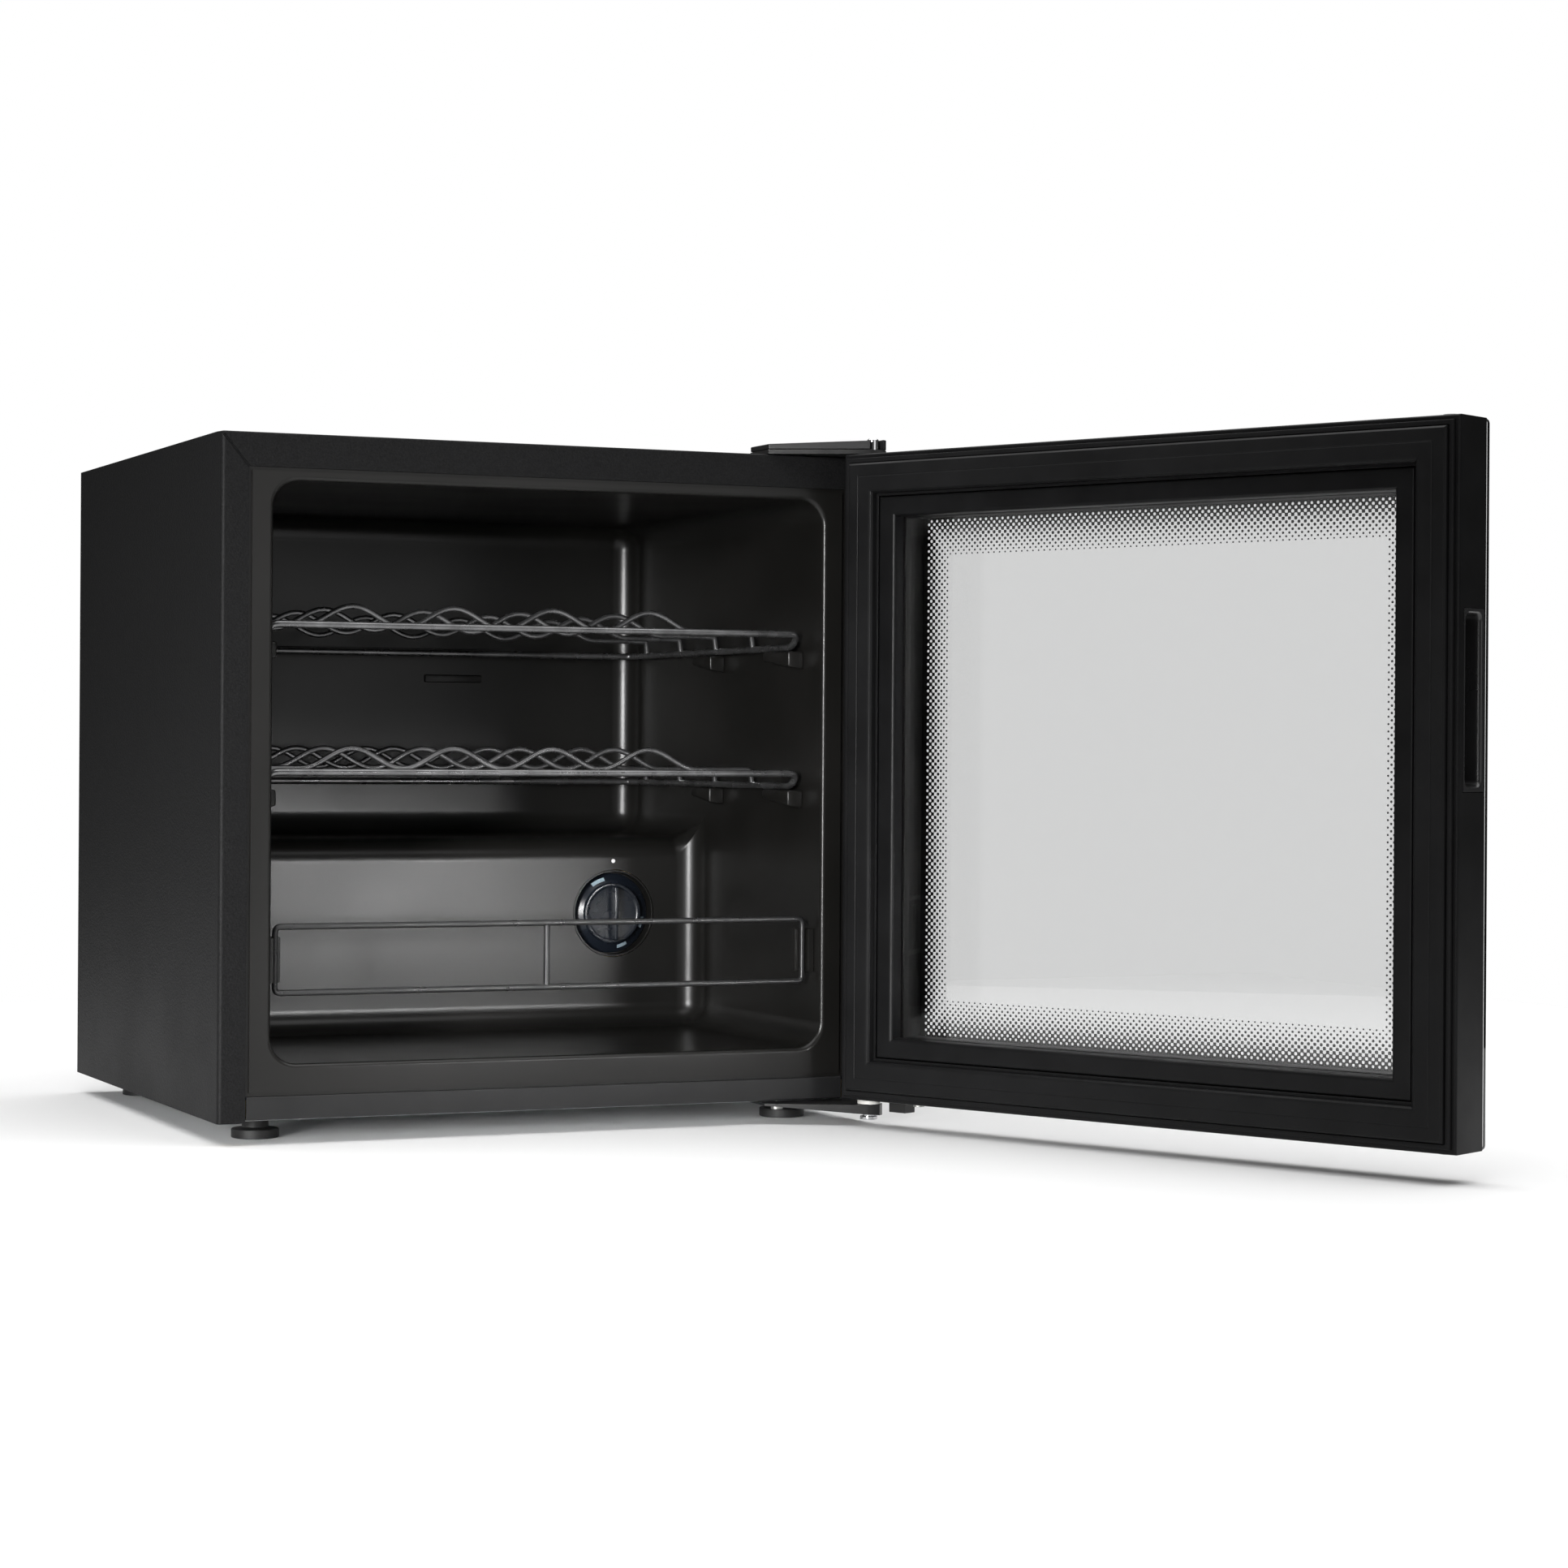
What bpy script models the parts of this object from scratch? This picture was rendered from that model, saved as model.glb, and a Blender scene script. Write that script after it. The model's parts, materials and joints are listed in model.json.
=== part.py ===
"""Tabletop wine cooler: a foamed cabinet with a compressor at the back, two sliding wire shelves,
a bottle guard rail, a thermostat dial and a double-glazed door on two pins.

Units are metres, +Z is up and the door side faces -Y. The door stands open at its rest angle.
Every size below is measured from the cabinet's own corner: x = 0 on its centre line,
y = 0 on its front face and z = 0 on its underside. An empty called cooler carries that corner
to its place, so that the whole object is centred above the world's origin."""

import math

import bmesh
import bpy

MM = 0.001

# Cabinet
CABINET_W = 472 * MM
CABINET_D = 382 * MM
CABINET_H = 452 * MM
FOOT_H = 15 * MM
SHEET = 1.2 * MM
GAP = 0.3 * MM
GROOVE = 0.8 * MM
SIDE_FLANGE = 18.8 * MM
TOP_FLANGE = 22.5 * MM
RAIL_LOW = 1.7 * MM
RAIL_HIGH = 17.2 * MM
RAIL_D = 12 * MM

# Inner liner
LINER_T = 1.5 * MM
LINER_FLANGE_T = 2.5 * MM
LINER_INSET = 0.4 * MM
INNER_HALF_W = 200 * MM
INNER_FLOOR = 38 * MM
INNER_TOP = 421 * MM
INNER_BACK = 345 * MM
HUMP_FRONT = 215 * MM
HUMP_TOP = 180 * MM
MOUTH_R = 18 * MM
BACK_R = 12 * MM
LIP = 3 * MM

# Machine compartment
HOOD_FRONT = 250 * MM
HOOD_TOP = 150 * MM

# Door
DOOR_W = 471 * MM
DOOR_LOW = 4.2 * MM
DOOR_HIGH = 451.5 * MM
DOOR_T = 38 * MM
DOOR_GAP = 6 * MM
DOOR_ANGLE = math.radians(115.3)
PIN_INSET = 10 * MM
PIN_DEPTH = 19 * MM
PIN_R = 4 * MM
GLASS_T = 4 * MM
FRAME_W = 30 * MM
WINDOW_MARGIN = 44 * MM
INNER_PANE_DEPTH = 10 * MM

GRIP = (223 * MM, 335 * MM)
GRIP_DEPTH = (6 * MM, 32 * MM)
GRIP_REACH = 17 * MM
STOP_EDGE = (24 * MM, 52 * MM)
STOP_DEPTH = (24 * MM, 35 * MM)
STOP_SCREW = (PIN_INSET - 46 * MM, -10 * MM)
PLUG_SPOT = (PIN_INSET - DOOR_W + 16 * MM, 0)

# Shelves and guard rail
SHELF_BARS = {"upper_shelf": 328 * MM, "lower_shelf": 229.5 * MM}
SHELF_FRONT = 28 * MM
SHELF_BACK = 330 * MM
SHELF_HALF_W = 194 * MM
SHELF_DROP = 9 * MM
SHELF_WIRE_R = 2.5 * MM
WAVE_WIRE_R = 2 * MM
WAVE_ROWS = [103 * MM, 168 * MM, 233 * MM, 298 * MM]
WAVE_PITCH = 74.6 * MM
WAVE_COUNT = 4
WAVE_RISE = 14 * MM
WAVE_BASE = 2 * MM
RAIL_Y = 16 * MM
RAIL_HALF_W = 193 * MM
RAIL_BOTTOM = 83.5 * MM
RAIL_TOP = 127.3 * MM
RAIL_R = 2 * MM

# Feet and drain
FOOT_X = 195 * MM
FRONT_FOOT_Y = 52 * MM
REAR_FOOT_Y = 350 * MM
SPOUT = (62 * MM, 340 * MM)

# Thermostat
DIAL_X = 131.8 * MM
DIAL_Z = 122.7 * MM
BEZEL_R = 32.5 * MM
SKIRT_R = 30 * MM
KNOB_R = 22 * MM
BEZEL_D = 10.5 * MM

# Refrigeration parts
COMPRESSOR_X = 90 * MM
COMPRESSOR_Y = 315 * MM
COMPRESSOR_LOW = 14.8 * MM
COIL_Y = 389 * MM
COIL_R = 2.4 * MM
STRAP_LOW = 164 * MM
STRAP_HIGH = 426 * MM
STRAP_W = 10 * MM
STRAP_T = 1.2 * MM
DRIER_Y = 340 * MM
DRIER_LOW = 50 * MM
DRIER_H = 62 * MM
REAR_END = 406 * MM

HALF_W = CABINET_W / 2
PIN_X = DOOR_W / 2 - PIN_INSET
PIN_Y = -DOOR_GAP - PIN_DEPTH
HINGE_PLAN = [
    (157 * MM, 0),
    (157 * MM, 30 * MM),
    (HALF_W - MM, 30 * MM),
    (HALF_W, PIN_Y),
    (PIN_X + 5 * MM, PIN_Y - 7 * MM),
    (PIN_X - 6 * MM, PIN_Y - 7 * MM),
]
SCREW_SPOTS = ((174 * MM, 16 * MM), (210 * MM, 16 * MM))
FACING_FRONT = (math.pi / 2, 0, 0)
DOOR_FAR_X = (DOOR_W - PIN_INSET) * -math.cos(DOOR_ANGLE) + (DOOR_T - PIN_DEPTH) * math.sin(DOOR_ANGLE)
DOOR_FAR_Y = (DOOR_W - PIN_INSET) * -math.sin(DOOR_ANGLE) + PIN_DEPTH * math.cos(DOOR_ANGLE)


def centre_offset():
    """How far the cabinet stands from the middle of the whole object's box, with the door at rest."""
    across = (-HALF_W + PIN_X + DOOR_FAR_X) / 2
    deep = (PIN_Y + DOOR_FAR_Y + REAR_END) / 2
    return -across, -deep


def clear_scene():
    for obj in list(bpy.data.objects):
        bpy.data.objects.remove(obj, do_unlink=True)


def new_collection(name):
    collection = bpy.data.collections.new(name)
    bpy.context.scene.collection.children.link(collection)
    return collection


def new_look(name, colour, roughness, metallic=0.0):
    look = bpy.data.materials.new(name)
    look.use_nodes = True
    shader = look.node_tree.nodes["Principled BSDF"]
    shader.inputs["Base Color"].default_value = (*colour, 1.0)
    shader.inputs["Roughness"].default_value = roughness
    shader.inputs["Metallic"].default_value = metallic
    look.diffuse_color = (*colour, 1.0)
    return look


def new_empty(name, place, parent=None):
    empty = bpy.data.objects.new(name, None)
    parts.objects.link(empty)
    empty.empty_display_size = 0.05
    empty.location = place
    empty.parent = parent
    return empty


def link(obj, place, parent, look, turn=(0, 0, 0)):
    """Links a part, or a cutter when it has no look, and hangs it from its parent."""
    (parts if look else cutters).objects.link(obj)
    obj.location = place
    obj.rotation_euler = turn
    obj.parent = parent
    if look:
        obj.data.materials.append(look)
    else:
        obj.hide_render = True
        obj.display_type = "WIRE"
    return obj


def along(axis, **sides):
    """A test for the edges of a centred box that run along one axis, on the sides named by sign."""
    index = "xyz".index(axis)

    def test(edge):
        start, end = (vert.co for vert in edge.verts)
        middle = (start + end) / 2
        on_side = all(middle["xyz".index(key)] * sign > 0 for key, sign in sides.items())
        return abs(end[index] - start[index]) > MM / 100 and on_side

    return test


def around(axis, sign):
    """A test for the edges that bound a centred box's face at one end of an axis."""
    index = "xyz".index(axis)

    def test(edge):
        ends = [vert.co[index] * sign for vert in edge.verts]
        return min(ends) > 0 and abs(ends[0] - ends[1]) < MM / 100

    return test


def box(name, low, high, look=None, parent=None, rounds=(), shape=None):
    """A box between two corners. rounds lists (edge test, radius, steps); shape moves its points."""
    size = [b - a for a, b in zip(low, high)]
    centre = [(a + b) / 2 for a, b in zip(low, high)]
    mesh = bpy.data.meshes.new(name)
    form = bmesh.new()
    bmesh.ops.create_cube(form, size=1.0)
    bmesh.ops.scale(form, vec=size, verts=form.verts)
    for test, radius, steps in rounds:
        edges = [edge for edge in form.edges if test(edge)]
        bmesh.ops.bevel(
            form, geom=edges, offset=radius, segments=steps, profile=0.5, affect="EDGES"
        )
    if shape:
        for vert in form.verts:
            vert.co = shape(vert.co)
    form.to_mesh(mesh)
    form.free()
    return link(bpy.data.objects.new(name, mesh), centre, parent or cooler, look)


def rod(name, radius, start, length, look=None, parent=None, axis="z", sides=24):
    """A cylinder that starts at a point and runs along an axis."""
    mesh = bpy.data.meshes.new(name)
    form = bmesh.new()
    bmesh.ops.create_cone(
        form, cap_ends=True, segments=sides, radius1=radius, radius2=radius, depth=length
    )
    form.to_mesh(mesh)
    form.free()
    turns = {"x": (0, math.pi / 2, 0), "y": (-math.pi / 2, 0, 0), "z": (0, 0, 0)}
    centre = list(start)
    centre["xyz".index(axis)] += length / 2
    obj = link(bpy.data.objects.new(name, mesh), centre, parent or cooler, look, turns[axis])
    smooth(obj)
    return obj


def smooth(obj):
    obj.data.shade_smooth()
    obj.data.set_sharp_from_angle(angle=math.radians(35))


def turned(name, profile, place, look=None, parent=None, turn=(0, 0, 0), steps=28, ring=False):
    """A turned solid. The profile of (radius, height) runs down the outer side, top to bottom."""
    mesh = bpy.data.meshes.new(name)
    points = [(radius, 0, height) for radius, height in profile]
    edges = [(index, index + 1) for index in range(len(points) - 1)]
    if ring:
        edges.append((len(points) - 1, 0))
    mesh.from_pydata(points, edges, [])
    obj = link(bpy.data.objects.new(name, mesh), place, parent or cooler, look, turn)
    screw = obj.modifiers.new("Turn", "SCREW")
    screw.axis = "Z"
    screw.steps = steps
    screw.render_steps = steps
    screw.use_merge_vertices = True
    screw.merge_threshold = 0.00001
    screw.use_smooth_shade = False
    return obj


def plate(name, outline, low, high, look=None, parent=None):
    """A flat outline in x and y with a thickness from low to high."""
    curve = bpy.data.curves.new(name, "CURVE")
    curve.dimensions = "2D"
    curve.fill_mode = "BOTH"
    curve.extrude = (high - low) / 2
    spline = curve.splines.new("POLY")
    spline.points.add(len(outline) - 1)
    for point, (x, y) in zip(spline.points, outline):
        point.co = (x, y, 0, 1)
    spline.use_cyclic_u = True
    flat = bpy.data.objects.new(name + "_outline", curve)
    link(flat, (0, 0, (low + high) / 2), parent or cooler, None)
    return as_mesh(flat, name, look, parent)


def wire_curve(name, points, radius, look=None, parent=None, closed=False):
    """A round wire or tube along a list of points, as a curve object."""
    curve = bpy.data.curves.new(name, "CURVE")
    curve.dimensions = "3D"
    curve.bevel_depth = radius
    curve.bevel_resolution = 2
    curve.use_fill_caps = not closed
    spline = curve.splines.new("POLY")
    spline.points.add(len(points) - 1)
    for point, place in zip(spline.points, points):
        point.co = (*place, 1)
    spline.use_cyclic_u = closed
    return link(bpy.data.objects.new(name, curve), (0, 0, 0), parent or cooler, look)


def as_mesh(source, name, look=None, parent=None):
    """The mesh that a curve object makes, with its caps welded, in the curve's place."""
    bpy.context.view_layer.update()
    graph = bpy.context.evaluated_depsgraph_get()
    mesh = bpy.data.meshes.new_from_object(source.evaluated_get(graph))
    form = bmesh.new()
    form.from_mesh(mesh)
    bmesh.ops.remove_doubles(form, verts=form.verts, dist=MM / 1000)
    bmesh.ops.recalc_face_normals(form, faces=form.faces)
    form.to_mesh(mesh)
    form.free()
    mesh.materials.clear()
    place = source.location.copy()
    bpy.data.objects.remove(source, do_unlink=True)
    return link(bpy.data.objects.new(name, mesh), place, parent or cooler, look)


def wire(name, points, radius, look=None, closed=False, parent=None):
    return as_mesh(wire_curve(name + "_path", points, radius, None, parent, closed), name, look, parent)


def combine(obj, others, operation):
    for number, other in enumerate(others, 1):
        step = obj.modifiers.new(f"{operation.title()} {number}", "BOOLEAN")
        step.operation = operation
        step.object = other
    return obj


def cut(obj, *others):
    return combine(obj, others, "DIFFERENCE")


def join(obj, *others):
    return combine(obj, others, "UNION")


def rounded_path(points, radius, steps=3, closed=False):
    """The points with each corner replaced by a short curve that starts a radius before it."""
    path = []
    count = len(points)
    for index, corner in enumerate(points):
        if not closed and index in (0, count - 1):
            path.append(corner)
            continue
        before = points[index - 1]
        after = points[(index + 1) % count]
        start = towards(corner, before, radius)
        end = towards(corner, after, radius)
        for step in range(steps + 1):
            share = step / steps
            weights = ((1 - share) ** 2, 2 * share * (1 - share), share**2)
            path.append(tuple(sum(w * p[k] for w, p in zip(weights, (start, corner, end))) for k in range(3)))
    return path


def towards(point, other, distance):
    gap = math.dist(point, other)
    share = min(distance / gap, 0.5)
    return tuple(a + (b - a) * share for a, b in zip(point, other))


def cavity_boxes(name, grow):
    """The liner's inside as two boxes, one over the hump and one in front of it, grown by a wall."""
    rounds = (
        (along("y"), MOUTH_R + grow, 5),
        (around("y", 1), BACK_R + grow, 3),
    )
    half = INNER_HALF_W + grow
    top = INNER_TOP + grow
    front = LINER_INSET if 0 < grow <= LINER_T else -5 * MM
    upper = box(
        name + "_upper",
        (-half, front, HUMP_TOP - grow),
        (half, INNER_BACK + grow, top),
        rounds=rounds,
    )
    lower = box(
        name + "_lower",
        (-half, front, INNER_FLOOR - grow),
        (half, HUMP_FRONT + grow, top),
        rounds=rounds,
    )
    return upper, lower


def lip_cutter():
    """A flared plug that breaks the sharp edge round the liner's mouth."""
    reach = 5 * MM
    middle = (INNER_TOP - INNER_FLOOR) / 2
    across = 1 + (LIP + reach) / INNER_HALF_W
    upright = 1 + (LIP + reach) / middle

    def flare(point):
        if point.y < 0:
            point.x *= across
            point.z *= upright
        return point

    return box(
        "mouth_lip",
        (-INNER_HALF_W, -reach, INNER_FLOOR),
        (INNER_HALF_W, LINER_INSET + LIP, INNER_TOP),
        rounds=((along("y"), MOUTH_R, 5),),
        shape=flare,
    )


def shelf_lugs():
    """The moulded ledges that carry the side rails of each shelf, two on each wall."""
    made = []
    for shelf, bar in SHELF_BARS.items():
        top = bar - SHELF_DROP - SHELF_WIRE_R - GAP
        for side, sign in (("left", -1), ("right", 1)):
            for place, front, back in (("front", 31 * MM, 74 * MM), ("rear", 166 * MM, 200 * MM)):
                inner = sign * (SHELF_HALF_W - 6 * MM)
                outer = sign * (INNER_HALF_W + 0.6 * MM)
                made.append(
                    box(
                        f"{shelf}_{side}_{place}_lug",
                        (min(inner, outer), front, top - 13 * MM),
                        (max(inner, outer), back, top),
                        shape=lug_shape(-sign),
                    )
                )
    return made


def lug_shape(towards_inside):
    """Slopes a ledge's underside up towards the back and towards the middle of the cabinet."""

    def slope(point):
        if point.z < 0:
            if point.y > 0:
                point.z += 5 * MM
            if point.x * towards_inside > 0:
                point.z += 2 * MM
        return point

    return slope


def make_outer_shell():
    shell = box(
        "outer_shell",
        (-HALF_W, 0, 0),
        (HALF_W, CABINET_D, CABINET_H),
        looks["painted_steel"],
        rounds=((along("z", y=-1), 3 * MM, 4), (along("x", y=-1, z=1), 1.5 * MM, 2)),
    )
    hollow = box(
        "shell_hollow",
        (-HALF_W + SHEET, SHEET, -5 * MM),
        (HALF_W - SHEET, CABINET_D + 5 * MM, CABINET_H - SHEET),
        rounds=((along("z", y=-1), 2 * MM, 3),),
    )
    mouth = box(
        "shell_mouth",
        (-HALF_W + SIDE_FLANGE, -5 * MM, -5 * MM),
        (HALF_W - SIDE_FLANGE, 5 * MM, CABINET_H - TOP_FLANGE),
    )
    seams = [mitre_cutter(sign) for sign in (-1, 1)]
    return cut(shell, hollow, mouth, *seams, *hinge_screw_holes("shell", upper=True))


def mitre_cutter(sign):
    """A thin slot along the diagonal where the side flange meets the top flange."""
    name = "mitre_left" if sign < 0 else "mitre_right"
    centre_x = sign * (HALF_W - SIDE_FLANGE / 2)
    centre_z = CABINET_H - TOP_FLANGE / 2
    half = math.hypot(SIDE_FLANGE, TOP_FLANGE) / 2 - 1.5 * MM
    width = 0.35 * MM
    slot = box(name, (-half, -1 * MM, -width), (half, 0.5 * MM, width))
    slot.location = (centre_x, -0.25 * MM, centre_z)
    slot.rotation_euler = (0, -sign * math.atan2(TOP_FLANGE, SIDE_FLANGE), 0)
    return slot


def make_front_rail():
    half = HALF_W - SIDE_FLANGE - GROOVE
    rail = box(
        "bottom_front_rail",
        (-half, GAP, RAIL_LOW),
        (half, RAIL_D, RAIL_HIGH),
        looks["satin_plastic"],
        rounds=((along("x", y=-1), 1 * MM, 2),),
    )
    wall = 1.6 * MM
    channel = box(
        "rail_channel",
        (-half - wall, GAP + wall, RAIL_LOW + wall),
        (half + wall, RAIL_D + wall, RAIL_HIGH - wall),
    )
    return cut(rail, channel)


def make_inner_liner():
    half = HALF_W - SIDE_FLANGE - GROOVE
    liner = box(
        "inner_liner",
        (-half, LINER_INSET, RAIL_HIGH + GROOVE),
        (half, LINER_INSET + LINER_FLANGE_T, CABINET_H - TOP_FLANGE - GROOVE),
        looks["liner_plastic"],
    )
    join(liner, *cavity_boxes("liner_skin", LINER_T))
    cut(liner, *cavity_boxes("liner_room", 0), lip_cutter())
    join(liner, *shelf_lugs())
    hole = rod(
        "dial_hole", BEZEL_R + GAP, (DIAL_X, HUMP_FRONT - 5 * MM, DIAL_Z), 15 * MM, axis="y", sides=40
    )
    drain = rod("drain_hole", 3.5 * MM, (*SPOUT, HUMP_TOP - 5 * MM), 10 * MM, sides=12)
    return cut(liner, hole, drain)


def make_insulation():
    clearance = 0.4 * MM
    half = HALF_W - SHEET - clearance
    foam_front = LINER_INSET + LINER_FLANGE_T + GAP
    foam = box(
        "insulation_foam",
        (-half, foam_front, RAIL_LOW + clearance),
        (half, CABINET_D - SHEET - 2 * clearance, CABINET_H - SHEET - clearance),
        looks["foam"],
    )
    machine_room = box(
        "foam_machine_room",
        (-HALF_W, HOOD_FRONT - GAP, -5 * MM),
        (HALF_W, CABINET_D + 5 * MM, HOOD_TOP + 2 * GAP),
    )
    behind_rail = box(
        "foam_behind_rail",
        (-HALF_W + SIDE_FLANGE, -5 * MM, -5 * MM),
        (HALF_W - SIDE_FLANGE, RAIL_D + GAP, RAIL_HIGH + GAP),
    )
    back = INNER_BACK + LINER_T
    plate_room = box(
        "foam_plate_room",
        (-142 * MM, back - MM, 198 * MM),
        (142 * MM, back + 2.4 * MM, 402 * MM),
    )
    bezel_room = rod(
        "foam_bezel_room", BEZEL_R + MM, (DIAL_X, HUMP_FRONT, DIAL_Z), BEZEL_D + MM, axis="y", sides=24
    )
    drain_room = rod("foam_drain_room", 5.3 * MM, (*SPOUT, HOOD_TOP - 5 * MM), 50 * MM, sides=12)
    body_room = box(
        "foam_thermostat_room",
        (DIAL_X - 22.6 * MM, HUMP_FRONT + BEZEL_D, DIAL_Z - 16.6 * MM),
        (DIAL_X + 22.6 * MM, HOOD_FRONT + MM, DIAL_Z + 16.6 * MM),
    )
    foot_rooms = [
        rod(f"foam_foot_room_{number}", 5.5 * MM, (x, FRONT_FOOT_Y, 0), 14 * MM, sides=12)
        for number, x in enumerate((-FOOT_X, FOOT_X), 1)
    ]
    cut(foam, *cavity_boxes("foam_room", LINER_T + GAP), machine_room, behind_rail, plate_room)
    cut(foam, bezel_room, body_room, drain_room, *foot_rooms)
    return cut(foam, *hinge_screw_holes("foam", upper=True), *hinge_screw_holes("foam", upper=False))


def make_rear_panel():
    half = HALF_W - SHEET - 0.5 * MM
    panel = box(
        "rear_panel",
        (-half, CABINET_D - SHEET, HOOD_TOP + 2 * GAP),
        (half, CABINET_D, CABINET_H - SHEET - 0.5 * MM),
        looks["painted_steel"],
    )
    return panel


def make_hood():
    half = HALF_W - SHEET - 0.5 * MM
    low = RAIL_LOW + GAP
    hood = box(
        "compartment_hood",
        (-half, HOOD_FRONT, low),
        (half, CABINET_D - SHEET - GAP, HOOD_TOP),
        looks["galvanised"],
    )
    room = box(
        "hood_room",
        (-HALF_W, HOOD_FRONT + SHEET, -5 * MM),
        (HALF_W, CABINET_D + 5 * MM, HOOD_TOP - SHEET),
    )
    spout_hole = rod("hood_spout_hole", 5.3 * MM, (*SPOUT, HOOD_TOP - 5 * MM), 10 * MM, sides=12)
    return cut(hood, room, spout_hole)


def make_base_pan():
    half = HALF_W - SHEET - 0.5 * MM
    pan = box(
        "base_pan",
        (-half, RAIL_D + GAP, 0.2 * MM),
        (half, CABINET_D - 0.5 * MM, RAIL_LOW),
        looks["galvanised"],
    )
    holes = [
        rod(f"pan_hole_{number}", 4.4 * MM, (x, FRONT_FOOT_Y, -5 * MM), 10 * MM, sides=16)
        for number, x in enumerate((-FOOT_X, FOOT_X), 1)
    ]
    return cut(pan, *holes, *hinge_screw_holes("pan", upper=False))


def make_evaporator():
    back = INNER_BACK + LINER_T
    return box(
        "evaporator_plate",
        (-140 * MM, back + GAP, 200 * MM),
        (140 * MM, back + 2 * MM, 400 * MM),
        looks["bare_aluminium"],
    )


def make_bezel():
    """The cup round the dial: open to the front, with a hole for the spindle in its floor."""
    wall = 1.3 * MM
    profile = [
        (BEZEL_R - wall, 0),
        (BEZEL_R, 0),
        (BEZEL_R, -BEZEL_D),
        (5 * MM, -BEZEL_D),
        (5 * MM, -BEZEL_D + wall),
        (BEZEL_R - wall, -BEZEL_D + wall),
    ]
    place = (DIAL_X, HUMP_FRONT, DIAL_Z)
    return turned(
        "thermostat_bezel", profile, place, looks["liner_plastic"], turn=FACING_FRONT, steps=40, ring=True
    )


def make_dial():
    """The skirt with its knob and grip, and the spindle that enters the thermostat behind it."""
    floor = -BEZEL_D + 1.3 * MM + GAP
    skirt_top = floor + 2 * MM
    knob_top = -1 * MM
    profile = [
        (0, knob_top),
        (KNOB_R - MM, knob_top),
        (KNOB_R, knob_top - MM),
        (KNOB_R, skirt_top),
        (SKIRT_R, skirt_top),
        (SKIRT_R, floor),
        (3 * MM, floor),
        (3 * MM, floor - 10 * MM),
        (0, floor - 10 * MM),
    ]
    axis = new_empty("dial_axis", (DIAL_X, HUMP_FRONT, DIAL_Z), cooler)
    dial = turned(
        "thermostat_dial", profile, (0, 0, 0), looks["knob_plastic"], axis, FACING_FRONT, steps=40
    )
    grip = box(
        "dial_grip",
        (-2.5 * MM, -7 * MM, -KNOB_R + 1.5 * MM),
        (2.5 * MM, 3 * MM, KNOB_R - 1.5 * MM),
        parent=axis,
        rounds=((along("z", y=-1), 1.2 * MM, 2),),
    )
    return join(dial, grip)


def make_thermostat():
    low = HUMP_FRONT + BEZEL_D + GAP
    body = box(
        "thermostat_body",
        (DIAL_X - 22 * MM, low, DIAL_Z - 16 * MM),
        (DIAL_X + 22 * MM, HOOD_FRONT - 2 * GAP, DIAL_Z + 16 * MM),
        looks["galvanised"],
    )
    hole = rod("thermostat_bore", 3.4 * MM, (DIAL_X, low - 5 * MM, DIAL_Z), 17 * MM, axis="y", sides=16)
    return cut(body, hole)


def make_shelf(name, bar):
    """A closed loop of wire, lower along its sides and back, with wavy cradle wires across it."""
    rail = bar - SHELF_DROP
    corners = [
        (-SHELF_HALF_W, SHELF_BACK, rail),
        (-SHELF_HALF_W, SHELF_FRONT + SHELF_DROP, rail),
        (-SHELF_HALF_W, SHELF_FRONT, bar),
        (SHELF_HALF_W, SHELF_FRONT, bar),
        (SHELF_HALF_W, SHELF_FRONT + SHELF_DROP, rail),
        (SHELF_HALF_W, SHELF_BACK, rail),
    ]
    path = rounded_path(corners, 7 * MM, closed=True)
    loop = wire(name, path, SHELF_WIRE_R, looks["shelf_wire"], closed=True)
    waves = [
        wire(f"{name}_wave_{number}", wave_path(y, bar, rail), WAVE_WIRE_R)
        for number, y in enumerate(WAVE_ROWS, 1)
    ]
    return join(loop, *waves)


def wave_path(y, bar, rail):
    """A cradle wire: up from the side rail, flat, one crest for each space, and down again."""
    base = bar + WAVE_BASE
    reach = WAVE_PITCH * WAVE_COUNT / 2
    steps = 6 * WAVE_COUNT
    path = [(-SHELF_HALF_W, y, rail), (-SHELF_HALF_W + 1.5 * MM, y, base)]
    for step in range(steps + 1):
        x = -reach + 2 * reach * step / steps
        lift = WAVE_RISE * (1 - math.cos(math.tau * (x + reach) / WAVE_PITCH)) / 2
        path.append((x, y, base + lift))
    path += [(SHELF_HALF_W - 1.5 * MM, y, base), (SHELF_HALF_W, y, rail)]
    return path


def make_guard_rail():
    corners = [
        (-RAIL_HALF_W, RAIL_Y, RAIL_BOTTOM),
        (-RAIL_HALF_W, RAIL_Y, RAIL_TOP),
        (RAIL_HALF_W, RAIL_Y, RAIL_TOP),
        (RAIL_HALF_W, RAIL_Y, RAIL_BOTTOM),
    ]
    path = rounded_path(corners, 3 * MM, closed=True)
    loop = wire("bottle_guard_rail", path, RAIL_R, looks["rail_wire"], closed=True)
    post = wire("rail_post", [(0, RAIL_Y, RAIL_BOTTOM), (0, RAIL_Y, RAIL_TOP)], RAIL_R)
    return join(loop, post)


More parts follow.
